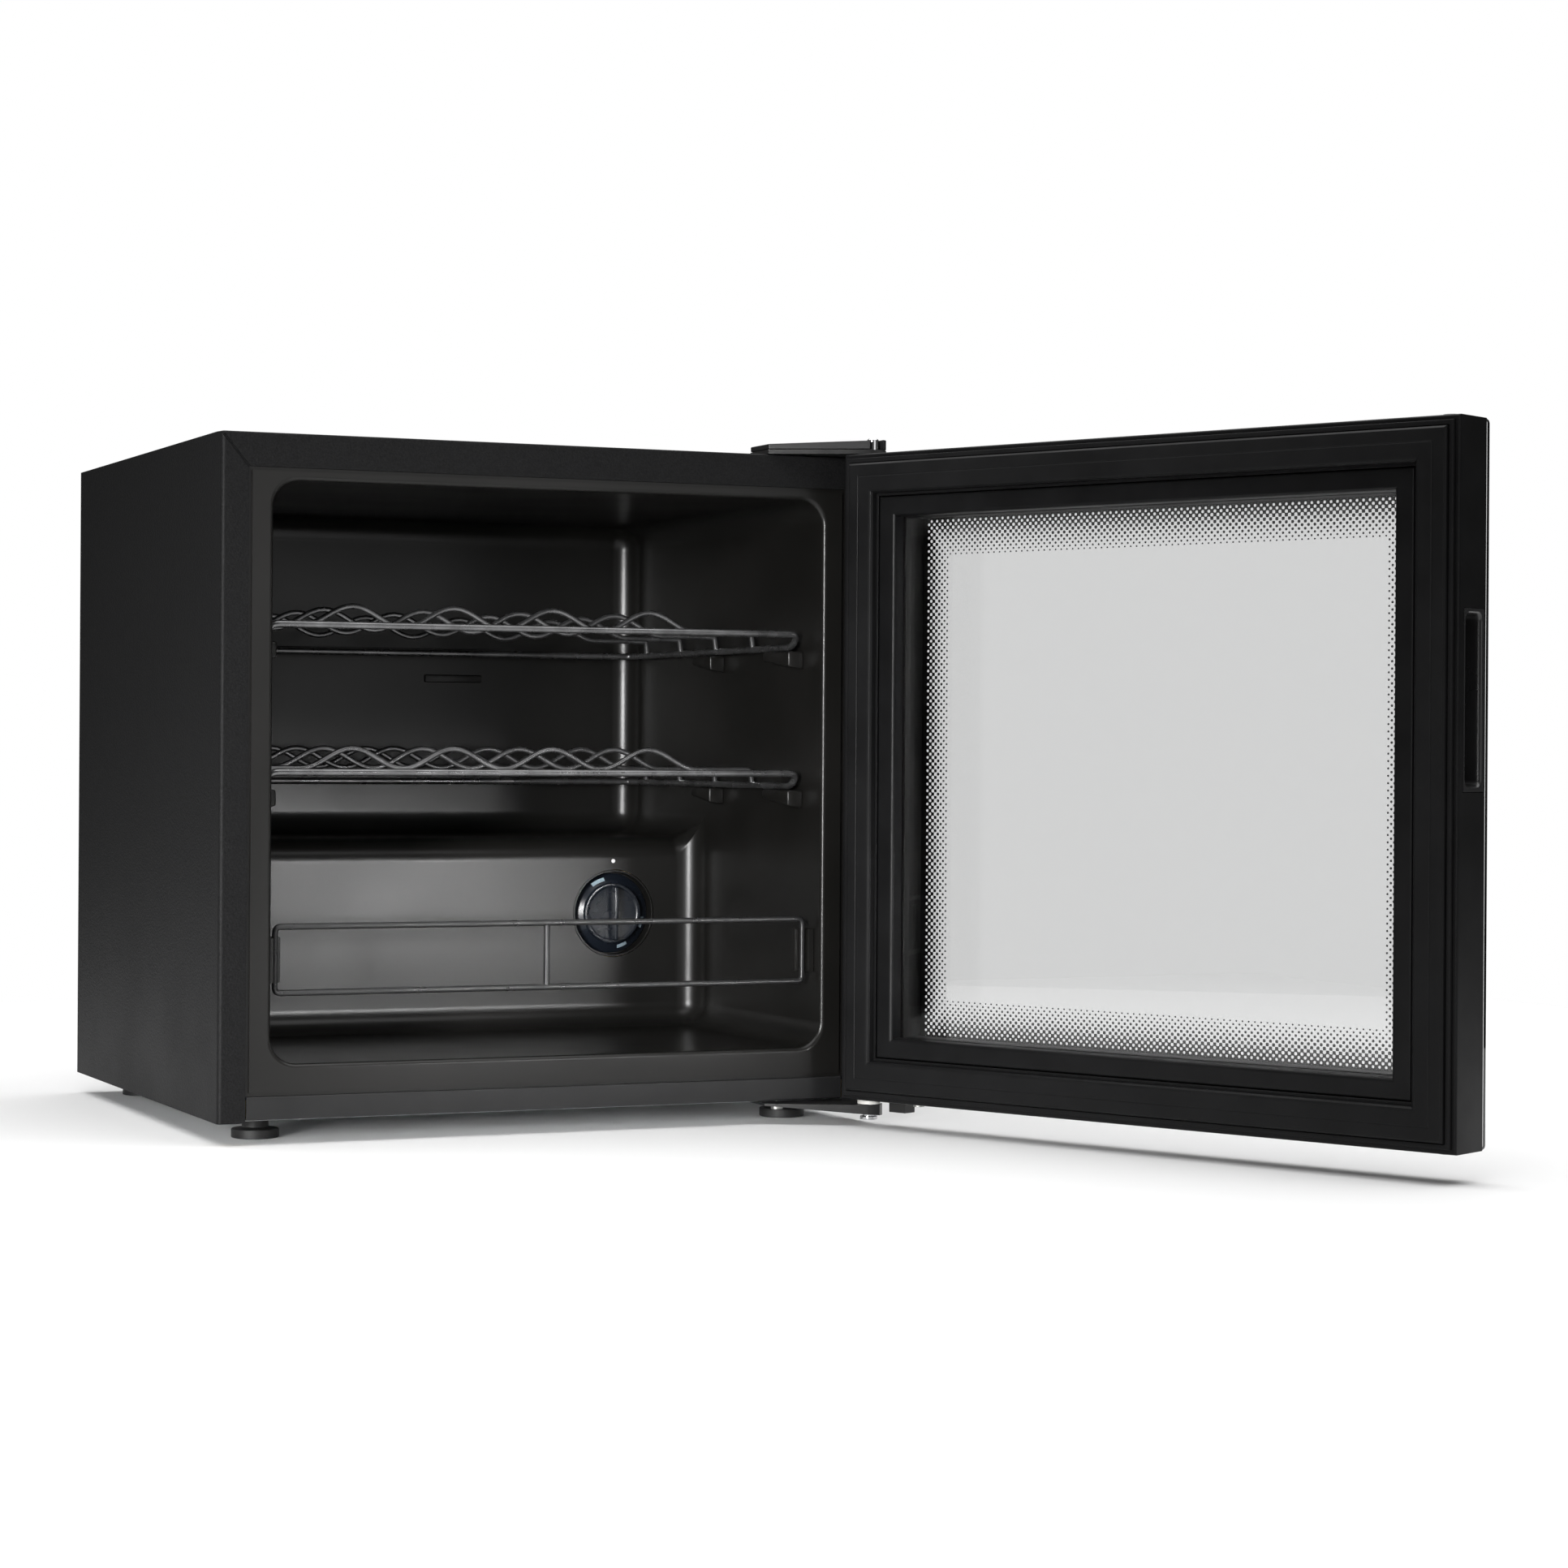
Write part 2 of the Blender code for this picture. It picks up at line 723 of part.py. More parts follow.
def make_rail_clip(name, sign):
    """A hook on the side wall that the end of the guard rail drops into."""
    wall = INNER_HALF_W - GAP
    inner = RAIL_HALF_W - 4.5 * MM
    half_h = 15 * MM
    middle = (RAIL_BOTTOM + RAIL_TOP) / 2
    xs = sorted((sign * inner, sign * wall))
    clip = box(
        name,
        (xs[0], RAIL_Y - 5 * MM, middle - half_h),
        (xs[1], RAIL_Y + 7 * MM, middle + half_h),
        looks["liner_plastic"],
    )
    slot_xs = sorted((sign * (inner - MM), sign * (RAIL_HALF_W + RAIL_R + GAP)))
    slot = box(
        name + "_slot",
        (slot_xs[0], RAIL_Y - 6 * MM, middle - 2 * half_h),
        (slot_xs[1], RAIL_Y + RAIL_R + GAP, middle + 2 * half_h),
    )
    return cut(clip, slot)


def make_compressor():
    profile = [
        (0, 118 * MM),
        (26 * MM, 115 * MM),
        (43 * MM, 104 * MM),
        (51 * MM, 86 * MM),
        (52 * MM, 62 * MM),
        (54.5 * MM, 60 * MM),
        (54.5 * MM, 55 * MM),
        (52 * MM, 53 * MM),
        (50 * MM, 26 * MM),
        (40 * MM, 8 * MM),
        (22 * MM, 0),
        (0, 0),
    ]
    turned(
        "compressor", profile, (COMPRESSOR_X, COMPRESSOR_Y, COMPRESSOR_LOW), looks["black_steel"], steps=32
    )
    low = RAIL_LOW + GAP
    half_x = 78 * MM
    half_y = 42 * MM
    deck = box(
        "compressor_plate",
        (COMPRESSOR_X - half_x, COMPRESSOR_Y - half_y, low + 10.4 * MM),
        (COMPRESSOR_X + half_x, COMPRESSOR_Y + half_y, low + 12.4 * MM),
        looks["black_steel"],
        rounds=((along("z"), 6 * MM, 3),),
    )
    holes = []
    spots = [(sx, sy) for sx in (-1, 1) for sy in (-1, 1)]
    for number, (sx, sy) in enumerate(spots, 1):
        place = (COMPRESSOR_X + sx * (half_x - 11 * MM), COMPRESSOR_Y + sy * (half_y - 10 * MM), low)
        holes.append(rod(f"deck_hole_{number}", 5.3 * MM, place, 20 * MM, sides=12))
        grommet = [(0, 16 * MM), (5 * MM, 16 * MM), (5 * MM, 10 * MM), (9 * MM, 10 * MM), (9 * MM, 0), (0, 0)]
        turned(f"compressor_grommet_{number}", grommet, place, looks["rubber"], steps=16)
    return cut(deck, *holes)


def make_terminal_cover():
    side = COMPRESSOR_X + 55 * MM
    return box(
        "terminal_cover",
        (side, COMPRESSOR_Y - 20 * MM, 40 * MM),
        (side + 32 * MM, COMPRESSOR_Y + 20 * MM, 96 * MM),
        looks["black_plastic"],
        rounds=((along("z", x=1), 5 * MM, 2), (around("z", 1), 2 * MM, 1)),
    )


def make_drip_tray():
    low = COMPRESSOR_LOW + 118 * MM + 2 * GAP
    wall = 1.5 * MM
    corner = (COMPRESSOR_X - 50 * MM, COMPRESSOR_Y - 42 * MM)
    far = (COMPRESSOR_X + 50 * MM, COMPRESSOR_Y + 46 * MM)
    tray = box("drip_tray", (*corner, low), (*far, low + 11 * MM), looks["black_plastic"])
    room = box(
        "tray_room",
        (corner[0] + wall, corner[1] + wall, low + wall),
        (far[0] - wall, far[1] - wall, low + 20 * MM),
    )
    top = HUMP_TOP - LINER_T - GAP
    spout = [
        (5 * MM, top),
        (5 * MM, low + 4 * MM),
        (3.5 * MM, low + 4 * MM),
        (3.5 * MM, top),
    ]
    turned("drain_tube", spout, (*SPOUT, 0), looks["black_plastic"], steps=12, ring=True)
    return cut(tray, room)


def coil_path():
    """Runs across the back from the lower right to the upper left, then a return to the drier."""
    half = 182 * MM
    runs = 8
    pitch = 36 * MM
    low = 172 * MM
    path = [(half + pitch / 2, COIL_Y, 118 * MM), (half + pitch / 2, COIL_Y, low - pitch / 2)]
    for run in range(runs):
        z = low + run * pitch
        sign = 1 if run % 2 == 0 else -1
        path += arc_points(sign, half, z - pitch / 2, pitch / 2, first=run == 0)
        path.append((-sign * half, COIL_Y, z))
    top = low + (runs - 1) * pitch
    left = -half - pitch / 2
    path += [(half + pitch / 2, COIL_Y, top), (half + pitch / 2, COIL_Y, top + pitch / 2)]
    bend = 6 * MM
    path += rounded_path(
        [
            (left + bend, COIL_Y, top + pitch / 2),
            (left, COIL_Y, top + pitch / 2),
            (left, COIL_Y, 124 * MM),
            (left, DRIER_Y, 124 * MM),
            (left, DRIER_Y, DRIER_LOW + DRIER_H + GAP),
        ],
        bend,
    )
    return path


def arc_points(sign, half, middle, radius, first):
    """The bend that leads up into a run; the first run has only a quarter of it."""
    steps = 6
    start = 0 if first else -math.pi / 2
    points = []
    for step in range(steps + 1):
        angle = start + (math.pi / 2 - start) * step / steps
        points.append(
            (sign * (half + radius * math.cos(angle)), COIL_Y, middle + radius * math.sin(angle))
        )
    return points


def make_condenser():
    """A serpentine tube with a grid of upright wires behind it, held by three cross straps."""
    wire_curve("condenser_coil", coil_path(), COIL_R, looks["black_steel"])
    near = COIL_Y + COIL_R + GAP
    thin = 1.6 * MM
    strap = (near + 1.2 * MM, near + 1.2 * MM + STRAP_T)
    span = 176 * MM
    middle = (STRAP_LOW + STRAP_HIGH) / 2
    grid = box(
        "condenser_wires",
        (-span - 4 * MM, strap[0], middle),
        (span + 4 * MM, strap[1], middle + STRAP_W),
        looks["black_steel"],
    )
    bars = [
        box(f"strap_{name}", (-214 * MM, strap[0], z), (214 * MM, strap[1], z + STRAP_W))
        for name, z in (("low", STRAP_LOW), ("high", STRAP_HIGH))
    ]
    count = 17
    for number in range(count):
        x = -span + 2 * span * number / (count - 1)
        low = (x - thin / 2, near, STRAP_LOW - 6 * MM)
        high = (x + thin / 2, near + thin, STRAP_HIGH + 16 * MM)
        bars.append(box(f"condenser_bar_{number}", low, high))
    return join(grid, *bars)


def make_condenser_brackets():
    """Two posts that carry the condenser's straps and keep the cabinet off the wall."""
    strap_near = COIL_Y + COIL_R + GAP + 1.2 * MM
    for name, sign in (("condenser_bracket_left", -1), ("condenser_bracket_right", 1)):
        xs = sorted((sign * 206 * MM, sign * 218 * MM))
        post = box(
            name,
            (xs[0], CABINET_D + GAP, STRAP_LOW - 6 * MM),
            (xs[1], REAR_END, STRAP_HIGH + 16 * MM),
            looks["black_plastic"],
            rounds=((along("z", y=1), 2 * MM, 2),),
        )
        slots = []
        slot_xs = sorted((sign * 200 * MM, sign * 214.4 * MM))
        for place, z in (("low", STRAP_LOW), ("high", STRAP_HIGH)):
            slots.append(
                box(
                    f"{name}_{place}_slot",
                    (slot_xs[0], strap_near - GAP, z - GAP),
                    (slot_xs[1], strap_near + STRAP_T + GAP, z + STRAP_W + GAP),
                )
            )
        cut(post, *slots)


def make_pipes():
    left = -182 * MM - 18 * MM
    drier = [
        (0, DRIER_H),
        (3 * MM, DRIER_H),
        (9 * MM, DRIER_H - 8 * MM),
        (9 * MM, 8 * MM),
        (3 * MM, 0),
        (0, 0),
    ]
    turned("filter_drier", drier, (left, DRIER_Y, DRIER_LOW), looks["copper"], steps=20)
    right = 182 * MM + 18 * MM
    side = COMPRESSOR_X + 53 * MM
    discharge = rounded_path(
        [
            (right, COIL_Y, 118 * MM - GAP),
            (right, COIL_Y, 24 * MM),
            (right, 345 * MM, 24 * MM),
            (side, 335 * MM, 24 * MM),
        ],
        10 * MM,
    )
    wire_curve("discharge_tube", discharge, 2 * MM, looks["copper"])
    inlet = COMPRESSOR_X - 54.5 * MM - 2 * GAP
    suction = rounded_path(
        [
            (-40 * MM, 320 * MM, HOOD_TOP - SHEET - GAP),
            (-40 * MM, 320 * MM, 40 * MM),
            (0, COMPRESSOR_Y, 40 * MM),
            (inlet, COMPRESSOR_Y, 40 * MM),
        ],
        14 * MM,
    )
    wire_curve("suction_tube", suction, 3 * MM, looks["copper"])


def make_cord_gland():
    """The clamp on the pan's rear edge that the mains lead would leave through."""
    place = (-120 * MM, 372 * MM, RAIL_LOW + GAP)
    block = box(
        "cord_gland",
        (place[0] - 9 * MM, place[1] - 6 * MM, place[2]),
        (place[0] + 9 * MM, place[1] + 6 * MM, place[2] + 16 * MM),
        looks["black_plastic"],
        rounds=((along("y", z=1), 5 * MM, 3),),
    )
    hole = rod(
        "gland_bore", 3.6 * MM, (place[0], place[1] - 10 * MM, place[2] + 9 * MM), 20 * MM, axis="y", sides=16
    )
    return cut(block, hole)


def hinge_screw_holes(owner, upper):
    """Clearance holes for the hinge screws' shanks, in whatever part they pass through."""
    low = CABINET_H - 14 * MM if upper else -8 * MM
    where = "upper" if upper else "lower"
    return [
        rod(f"{owner}_{where}_screw_hole_{number}", 2.6 * MM, (x, y, low), 24 * MM, sides=12)
        for number, (x, y) in enumerate(SCREW_SPOTS, 1)
    ]


def make_upper_hinge():
    low = CABINET_H + GAP
    high = low + 3 * MM
    hinge = plate("upper_hinge_plate", HINGE_PLAN, low, high, looks["black_steel"])
    heads = [
        rod(f"hinge_head_room_{number}", 4.4 * MM, (x, y, high - 2 * MM), 5 * MM, sides=16)
        for number, (x, y) in enumerate(SCREW_SPOTS, 1)
    ]
    pin_hole = rod("upper_pin_hole", PIN_R + GAP, (PIN_X, PIN_Y, low - MM), 10 * MM, sides=20)
    cut(hinge, pin_hole, *heads, *hinge_screw_holes("plate", upper=True))
    for number, (x, y) in enumerate(SCREW_SPOTS, 1):
        screw = [
            (0, high - 0.4 * MM),
            (4 * MM, high - 0.4 * MM),
            (4 * MM, high - 1.7 * MM),
            (2.2 * MM, high - 1.7 * MM),
            (2.2 * MM, CABINET_H - 10 * MM),
            (0, CABINET_H - 10 * MM),
        ]
        turned(f"upper_hinge_screw_{number}", screw, (x, y, 0), looks["zinc"], steps=16)
    make_hinge_cover(high + GAP)
    pin = [
        (0, CABINET_H + 11.5 * MM),
        (3 * MM, CABINET_H + 11.5 * MM),
        (PIN_R, CABINET_H + 10.5 * MM),
        (PIN_R, DOOR_HIGH - 13 * MM),
        (0, DOOR_HIGH - 13 * MM),
    ]
    turned("upper_hinge_pin", pin, (PIN_X, PIN_Y, 0), looks["chrome"], steps=24)


def make_hinge_cover(low):
    """A cap over the plate whose top climbs towards the pin, notched so that the pin shows."""
    cap = plate("upper_hinge_cover", HINGE_PLAN, low, low + 8 * MM, looks["satin_plastic"])
    slope = box("cover_slope", (120 * MM, -60 * MM, 0), (280 * MM, 60 * MM, 20 * MM))
    rise = math.atan2(5.8 * MM, 70 * MM)
    slope.rotation_euler = (0, -rise, 0)
    slope.location = (200 * MM, 0, low + 4.4 * MM + 10 * MM)
    notch = rod("cover_notch", PIN_R + MM, (PIN_X, PIN_Y, low - 5 * MM), 20 * MM, sides=24)
    mouth = box(
        "cover_notch_mouth",
        (PIN_X - PIN_R - MM, PIN_Y - 20 * MM, low - 5 * MM),
        (PIN_X + PIN_R + MM, PIN_Y, low + 15 * MM),
    )
    return cut(cap, slope, notch, mouth)


def make_lower_hinge():
    high = -0.1 * MM
    low = high - 8 * MM
    bracket = plate("lower_hinge_bracket", HINGE_PLAN, low, high, looks["black_steel"])
    slope = box("bracket_slope", (120 * MM, -60 * MM, -20 * MM), (280 * MM, 60 * MM, 0))
    rise = math.atan2(5.8 * MM, 70 * MM)
    slope.rotation_euler = (0, rise, 0)
    slope.location = (200 * MM, 0, low + 3 * MM - 10 * MM)
    pin_hole = rod("lower_pin_hole", PIN_R + GAP, (PIN_X, PIN_Y, low - 5 * MM), 20 * MM, sides=20)
    heads = [
        rod(f"bracket_head_room_{number}", 4.6 * MM, (x, y, low - 5 * MM), 9.6 * MM, sides=16)
        for number, (x, y) in enumerate(SCREW_SPOTS, 1)
    ]
    rear = box("bracket_rear", (150 * MM, 24 * MM, -20 * MM), (240 * MM, 60 * MM, 5 * MM))
    cut(bracket, slope, pin_hole, rear, *heads, *hinge_screw_holes("bracket", upper=False))
    for number, (x, y) in enumerate(SCREW_SPOTS, 1):
        head = low + 4.3 * MM
        screw = [
            (0, 10 * MM),
            (2.2 * MM, 10 * MM),
            (2.2 * MM, head),
            (4.2 * MM, head),
            (4.2 * MM, head - 2 * MM),
            (0, head - 2 * MM),
        ]
        turned(f"lower_hinge_screw_{number}", screw, (x, y, 0), looks["zinc"], steps=16)
    pin = [
        (0, DOOR_LOW + 13 * MM),
        (PIN_R, DOOR_LOW + 13 * MM),
        (PIN_R, low - GAP),
        (6 * MM, low - GAP),
        (6 * MM, low - 2.5 * MM),
        (0, low - 2.5 * MM),
    ]
    turned("lower_hinge_pin", pin, (PIN_X, PIN_Y, 0), looks["chrome"], steps=24)
    washer = [
        (8 * MM, DOOR_LOW - GAP),
        (8 * MM, high + GAP),
        (PIN_R + GAP, high + GAP),
        (PIN_R + GAP, DOOR_LOW - GAP),
    ]
    turned("lower_hinge_washer", washer, (PIN_X, PIN_Y, 0), looks["white_plastic"], steps=24, ring=True)


def make_feet():
    for name, x in (("front_foot_left", -FOOT_X), ("front_foot_right", FOOT_X)):
        foot = [
            (0, 10 * MM),
            (4 * MM, 10 * MM),
            (4 * MM, -0.4 * MM),
            (9 * MM, -0.4 * MM),
            (9 * MM, -8 * MM),
            (16 * MM, -9 * MM),
            (16 * MM, -FOOT_H),
            (0, -FOOT_H),
        ]
        turned(name, foot, (x, FRONT_FOOT_Y, 0), looks["black_plastic"], steps=24)
    for name, x in (("rear_foot_left", -FOOT_X), ("rear_foot_right", FOOT_X)):
        foot = [
            (0, -0.2 * MM),
            (12 * MM, -0.2 * MM),
            (14 * MM, -FOOT_H),
            (0, -FOOT_H),
        ]
        turned(name, foot, (x, REAR_FOOT_Y, 0), looks["black_plastic"], steps=20)


def door_box(name, edge, depth, height, look=None, rounds=(), shape=None):
    """A box in the door. edge runs from the hinge side, depth from the inner face outwards."""
    low = (PIN_INSET - edge[1], PIN_DEPTH - depth[1], height[0])
    high = (PIN_INSET - edge[0], PIN_DEPTH - depth[0], height[1])
    return box(name, low, high, look, door_hinge, rounds, shape)


def door_ring(name, outer, inner, depth, look, rounds=()):
    """A frame in the door, between two margins measured from the door's edges."""
    ring = door_box(
        name,
        (outer, DOOR_W - outer),
        depth,
        (DOOR_LOW + outer, DOOR_HIGH - outer),
        look,
        rounds,
    )
    window = door_box(
        name + "_window",
        (inner, DOOR_W - inner),
        (depth[0] - 20 * MM, depth[1] + 20 * MM),
        (DOOR_LOW + inner, DOOR_HIGH - inner),
    )
    return cut(ring, window)


def make_door_frame():
    back = DOOR_T - GLASS_T - GAP
    frame = door_ring(
        "door_frame",
        0,
        FRAME_W,
        (0, back),
        looks["satin_plastic"],
        rounds=((around("y", 1), 1.5 * MM, 2),),
    )
    pocket = door_box("grip_pocket", (DOOR_W - GRIP_REACH, DOOR_W + 5 * MM), GRIP_DEPTH, GRIP)
    bores = [
        rod(f"{name}_bush_bore", 7.3 * MM, (0, 0, low), 20 * MM, parent=door_hinge)
        for name, low in (("upper", DOOR_HIGH - 15 * MM), ("lower", DOOR_LOW - 5 * MM))
    ]
    plugs = [
        rod(f"plug_hole_{number}", 3.8 * MM, (*PLUG_SPOT, low), 15 * MM, parent=door_hinge, sides=16)
        for number, low in enumerate((DOOR_LOW - 5 * MM, DOOR_HIGH - 10 * MM), 1)
    ]
    return cut(frame, pocket, *bores, *plugs, stop_screw_hole())


def make_glazing():
    back = DOOR_T - GLASS_T
    door_box(
        "outer_glass",
        (0, DOOR_W),
        (back, DOOR_T),
        (DOOR_LOW, DOOR_HIGH),
        looks["glass"],
        rounds=((along("y"), 3 * MM, 3), (around("y", -1), 1 * MM, 2)),
    )
    near = INNER_PANE_DEPTH + GAP
    margin = FRAME_W + MM
    door_box(
        "inner_glass",
        (margin, DOOR_W - margin),
        (near, near + GLASS_T),
        (DOOR_LOW + margin, DOOR_HIGH - margin),
        looks["glass"],
    )
    door_ring(
        "glass_spacer",
        WINDOW_MARGIN - 7 * MM,
        WINDOW_MARGIN + 0.5 * MM,
        (near + GLASS_T + GAP, back - GAP),
        looks["spacer_plastic"],
    )
    door_ring(
        "inner_frame",
        FRAME_W + GAP,
        WINDOW_MARGIN,
        (0, INNER_PANE_DEPTH),
        looks["satin_plastic"],
        rounds=(),
    )


def make_gasket():
    """A raised magnetic seal with a low lip along its outer edge."""
    gasket = door_ring(
        "door_gasket",
        6 * MM,
        28.5 * MM,
        (-5.3 * MM, -GAP),
        looks["gasket_rubber"],
        rounds=((around("y", 1), 1.6 * MM, 2),),
    )
    lip = door_ring("gasket_lip", 3 * MM, 7 * MM, (-2.4 * MM, -GAP), None)
    return join(gasket, lip)


def make_handle_cup():
    """The finger grip let into the door's free edge, with a narrow rim that stands proud."""
    inset = 0.4 * MM
    wall = 1.6 * MM
    rim = 1.2 * MM
    proud = 0.7 * MM
    cup = door_box(
        "handle_cup",
        (DOOR_W - GRIP_REACH + inset, DOOR_W - inset),
        (GRIP_DEPTH[0] + inset, GRIP_DEPTH[1] - inset),
        (GRIP[0] + inset, GRIP[1] - inset),
        looks["grip_plastic"],
        rounds=((along("x", z=-1), 8 * MM, 4),),
    )
    room = door_box(
        "cup_room",
        (DOOR_W - GRIP_REACH + inset + wall, DOOR_W + 10 * MM),
        (GRIP_DEPTH[0] + inset + wall, GRIP_DEPTH[1] - inset - wall),
        (GRIP[0] + inset + wall, GRIP[1] - inset - wall),
        rounds=((along("x", z=-1), 6.4 * MM, 4),),
    )
    edge = door_box(
        "cup_rim",
        (DOOR_W - inset - rim, DOOR_W + proud),
        (GRIP_DEPTH[0] + inset, GRIP_DEPTH[1] - inset),
        (GRIP[0] + inset, GRIP[1] - inset),
        rounds=((along("x", z=-1), 8 * MM, 4),),
    )
    join(cup, edge)
    return cut(cup, room)


def make_door_bushes():
    inner = PIN_R + GAP
    upper = [
        (7 * MM, DOOR_HIGH),
        (7 * MM, DOOR_HIGH - 14.5 * MM),
        (inner, DOOR_HIGH - 14.5 * MM),
        (inner, DOOR_HIGH),
    ]
    lower = [
        (7 * MM, DOOR_LOW + 14.5 * MM),
        (7 * MM, DOOR_LOW),
        (inner, DOOR_LOW),
        (inner, DOOR_LOW + 14.5 * MM),
    ]
    for name, profile in (("upper_hinge_bush", upper), ("lower_hinge_bush", lower)):
        turned(name, profile, (0, 0, 0), looks["white_plastic"], door_hinge, steps=24, ring=True)


def stop_screw_hole():
    return rod(
        "stop_screw_hole", 2.6 * MM, (*STOP_SCREW, DOOR_LOW - 10 * MM), 20 * MM, parent=door_hinge, sides=12
    )


def make_door_stop():
    """A flat strip under the door with a turned-down tab beside the lower hinge."""
    high = DOOR_LOW - GAP
    strip = door_box(
        "door_stop_plate", STOP_EDGE, STOP_DEPTH, (high - 1.8 * MM, high), looks["black_steel"]
    )
    tab = door_box("stop_tab", (STOP_EDGE[0], STOP_EDGE[0] + 14 * MM), STOP_DEPTH, (high - 9 * MM, high))
    join(strip, tab)
    cut(strip, stop_screw_hole())
    screw = [
        (0, DOOR_LOW + 8 * MM),
        (2.2 * MM, DOOR_LOW + 8 * MM),
        (2.2 * MM, high - 2.1 * MM),
        (4 * MM, high - 2.1 * MM),
        (4 * MM, high - 4 * MM),
        (0, high - 4 * MM),
    ]
    turned("door_stop_screw", screw, (*STOP_SCREW, 0), looks["zinc"], door_hinge, steps=16)


def make_hole_plugs():
    """Caps in the unused hinge holes at the free end of the door's top and bottom edges."""
    for name, sign, edge in (("hole_plug_top", 1, DOOR_HIGH), ("hole_plug_bottom", -1, DOOR_LOW)):
        cap = [
            (0, 1.8 * MM),
            (5 * MM, 1.8 * MM),
            (6 * MM, 1 * MM),
            (6 * MM, GAP),
            (3.5 * MM, GAP),
            (3.5 * MM, -9 * MM),
            (0, -9 * MM),
        ]
        turn = (0, 0, 0) if sign > 0 else (math.pi, 0, 0)
        turned(name, cap, (*PLUG_SPOT, edge), looks["black_plastic"], door_hinge, turn, steps=16)


def make_cabinet():
    make_outer_shell()
    make_front_rail()
    make_inner_liner()
    make_insulation()
    make_rear_panel()
    make_hood()
    make_base_pan()
    make_feet()
    make_upper_hinge()
    make_lower_hinge()


def make_cold_parts():
    make_evaporator()
    make_bezel()
    make_dial()
    make_thermostat()
    make_compressor()
    make_terminal_cover()
    make_drip_tray()
    make_condenser()
    make_condenser_brackets()
    make_pipes()
    make_cord_gland()


def make_furniture():
    for name, bar in SHELF_BARS.items():
        make_shelf(name, bar)
    make_guard_rail()
    make_rail_clip("guard_rail_clip_left", -1)
    make_rail_clip("guard_rail_clip_right", 1)


def make_door():
    make_door_frame()
    make_glazing()
    make_gasket()
    make_handle_cup()
    make_door_bushes()
    make_door_stop()
    make_hole_plugs()


clear_scene()
parts = new_collection("wine_cooler")
cutters = new_collection("cutters")
cooler = new_empty("cooler", (*centre_offset(), FOOT_H))
door_hinge = new_empty("door_hinge", (PIN_X, PIN_Y, 0), cooler)
door_hinge.rotation_euler = (0, 0, DOOR_ANGLE)
looks = {
    "painted_steel": new_look("painted_steel", (0.028, 0.028, 0.028), 0.45),
    "satin_plastic": new_look("satin_plastic", (0.02, 0.02, 0.02), 0.4),
    "liner_plastic": new_look("liner_plastic", (0.05, 0.048, 0.044), 0.35),
    "foam": new_look("foam", (0.8, 0.7, 0.4), 0.9),
    "galvanised": new_look("galvanised", (0.5, 0.5, 0.5), 0.45, 0.9),
    "bare_aluminium": new_look("bare_aluminium", (0.75, 0.75, 0.76), 0.4, 1.0),
    "black_steel": new_look("black_steel", (0.015, 0.015, 0.015), 0.4, 0.3),
    "black_plastic": new_look("black_plastic", (0.02, 0.02, 0.02), 0.5),
    "knob_plastic": new_look("knob_plastic", (0.03, 0.035, 0.04), 0.4),
    "grip_plastic": new_look("grip_plastic", (0.012, 0.012, 0.012), 0.3),
    "spacer_plastic": new_look("spacer_plastic", (0.04, 0.04, 0.04), 0.5),
    "gasket_rubber": new_look("gasket_rubber", (0.03, 0.03, 0.03), 0.6),
    "shelf_wire": new_look("shelf_wire", (0.06, 0.06, 0.06), 0.3, 0.5),
    "rail_wire": new_look("rail_wire", (0.04, 0.04, 0.04), 0.35, 0.3),
    "rubber": new_look("rubber", (0.02, 0.02, 0.02), 0.8),
    "zinc": new_look("zinc", (0.7, 0.7, 0.68), 0.35, 1.0),
    "chrome": new_look("chrome", (0.85, 0.85, 0.85), 0.12, 1.0),
    "copper": new_look("copper", (0.72, 0.37, 0.2), 0.35, 1.0),
    "white_plastic": new_look("white_plastic", (0.8, 0.8, 0.78), 0.5),
    "glass": new_look("glass", (0.75, 0.8, 0.8), 0.05),
}
make_cabinet()
make_cold_parts()
make_furniture()
make_door()
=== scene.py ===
# %% [markdown]
# # A tabletop wine cooler with its glass door open
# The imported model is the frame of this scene: every joint, size and place is already in it.
# Here each part gets its real surface. Flat and boxy parts are copied from the frame, welded and
# given soft edges. Wires, mouldings, the dial and the glass are modelled again in finer detail.

# %% Load the frame
import json
import math

import bmesh
import bpy
from mathutils import Matrix, Vector


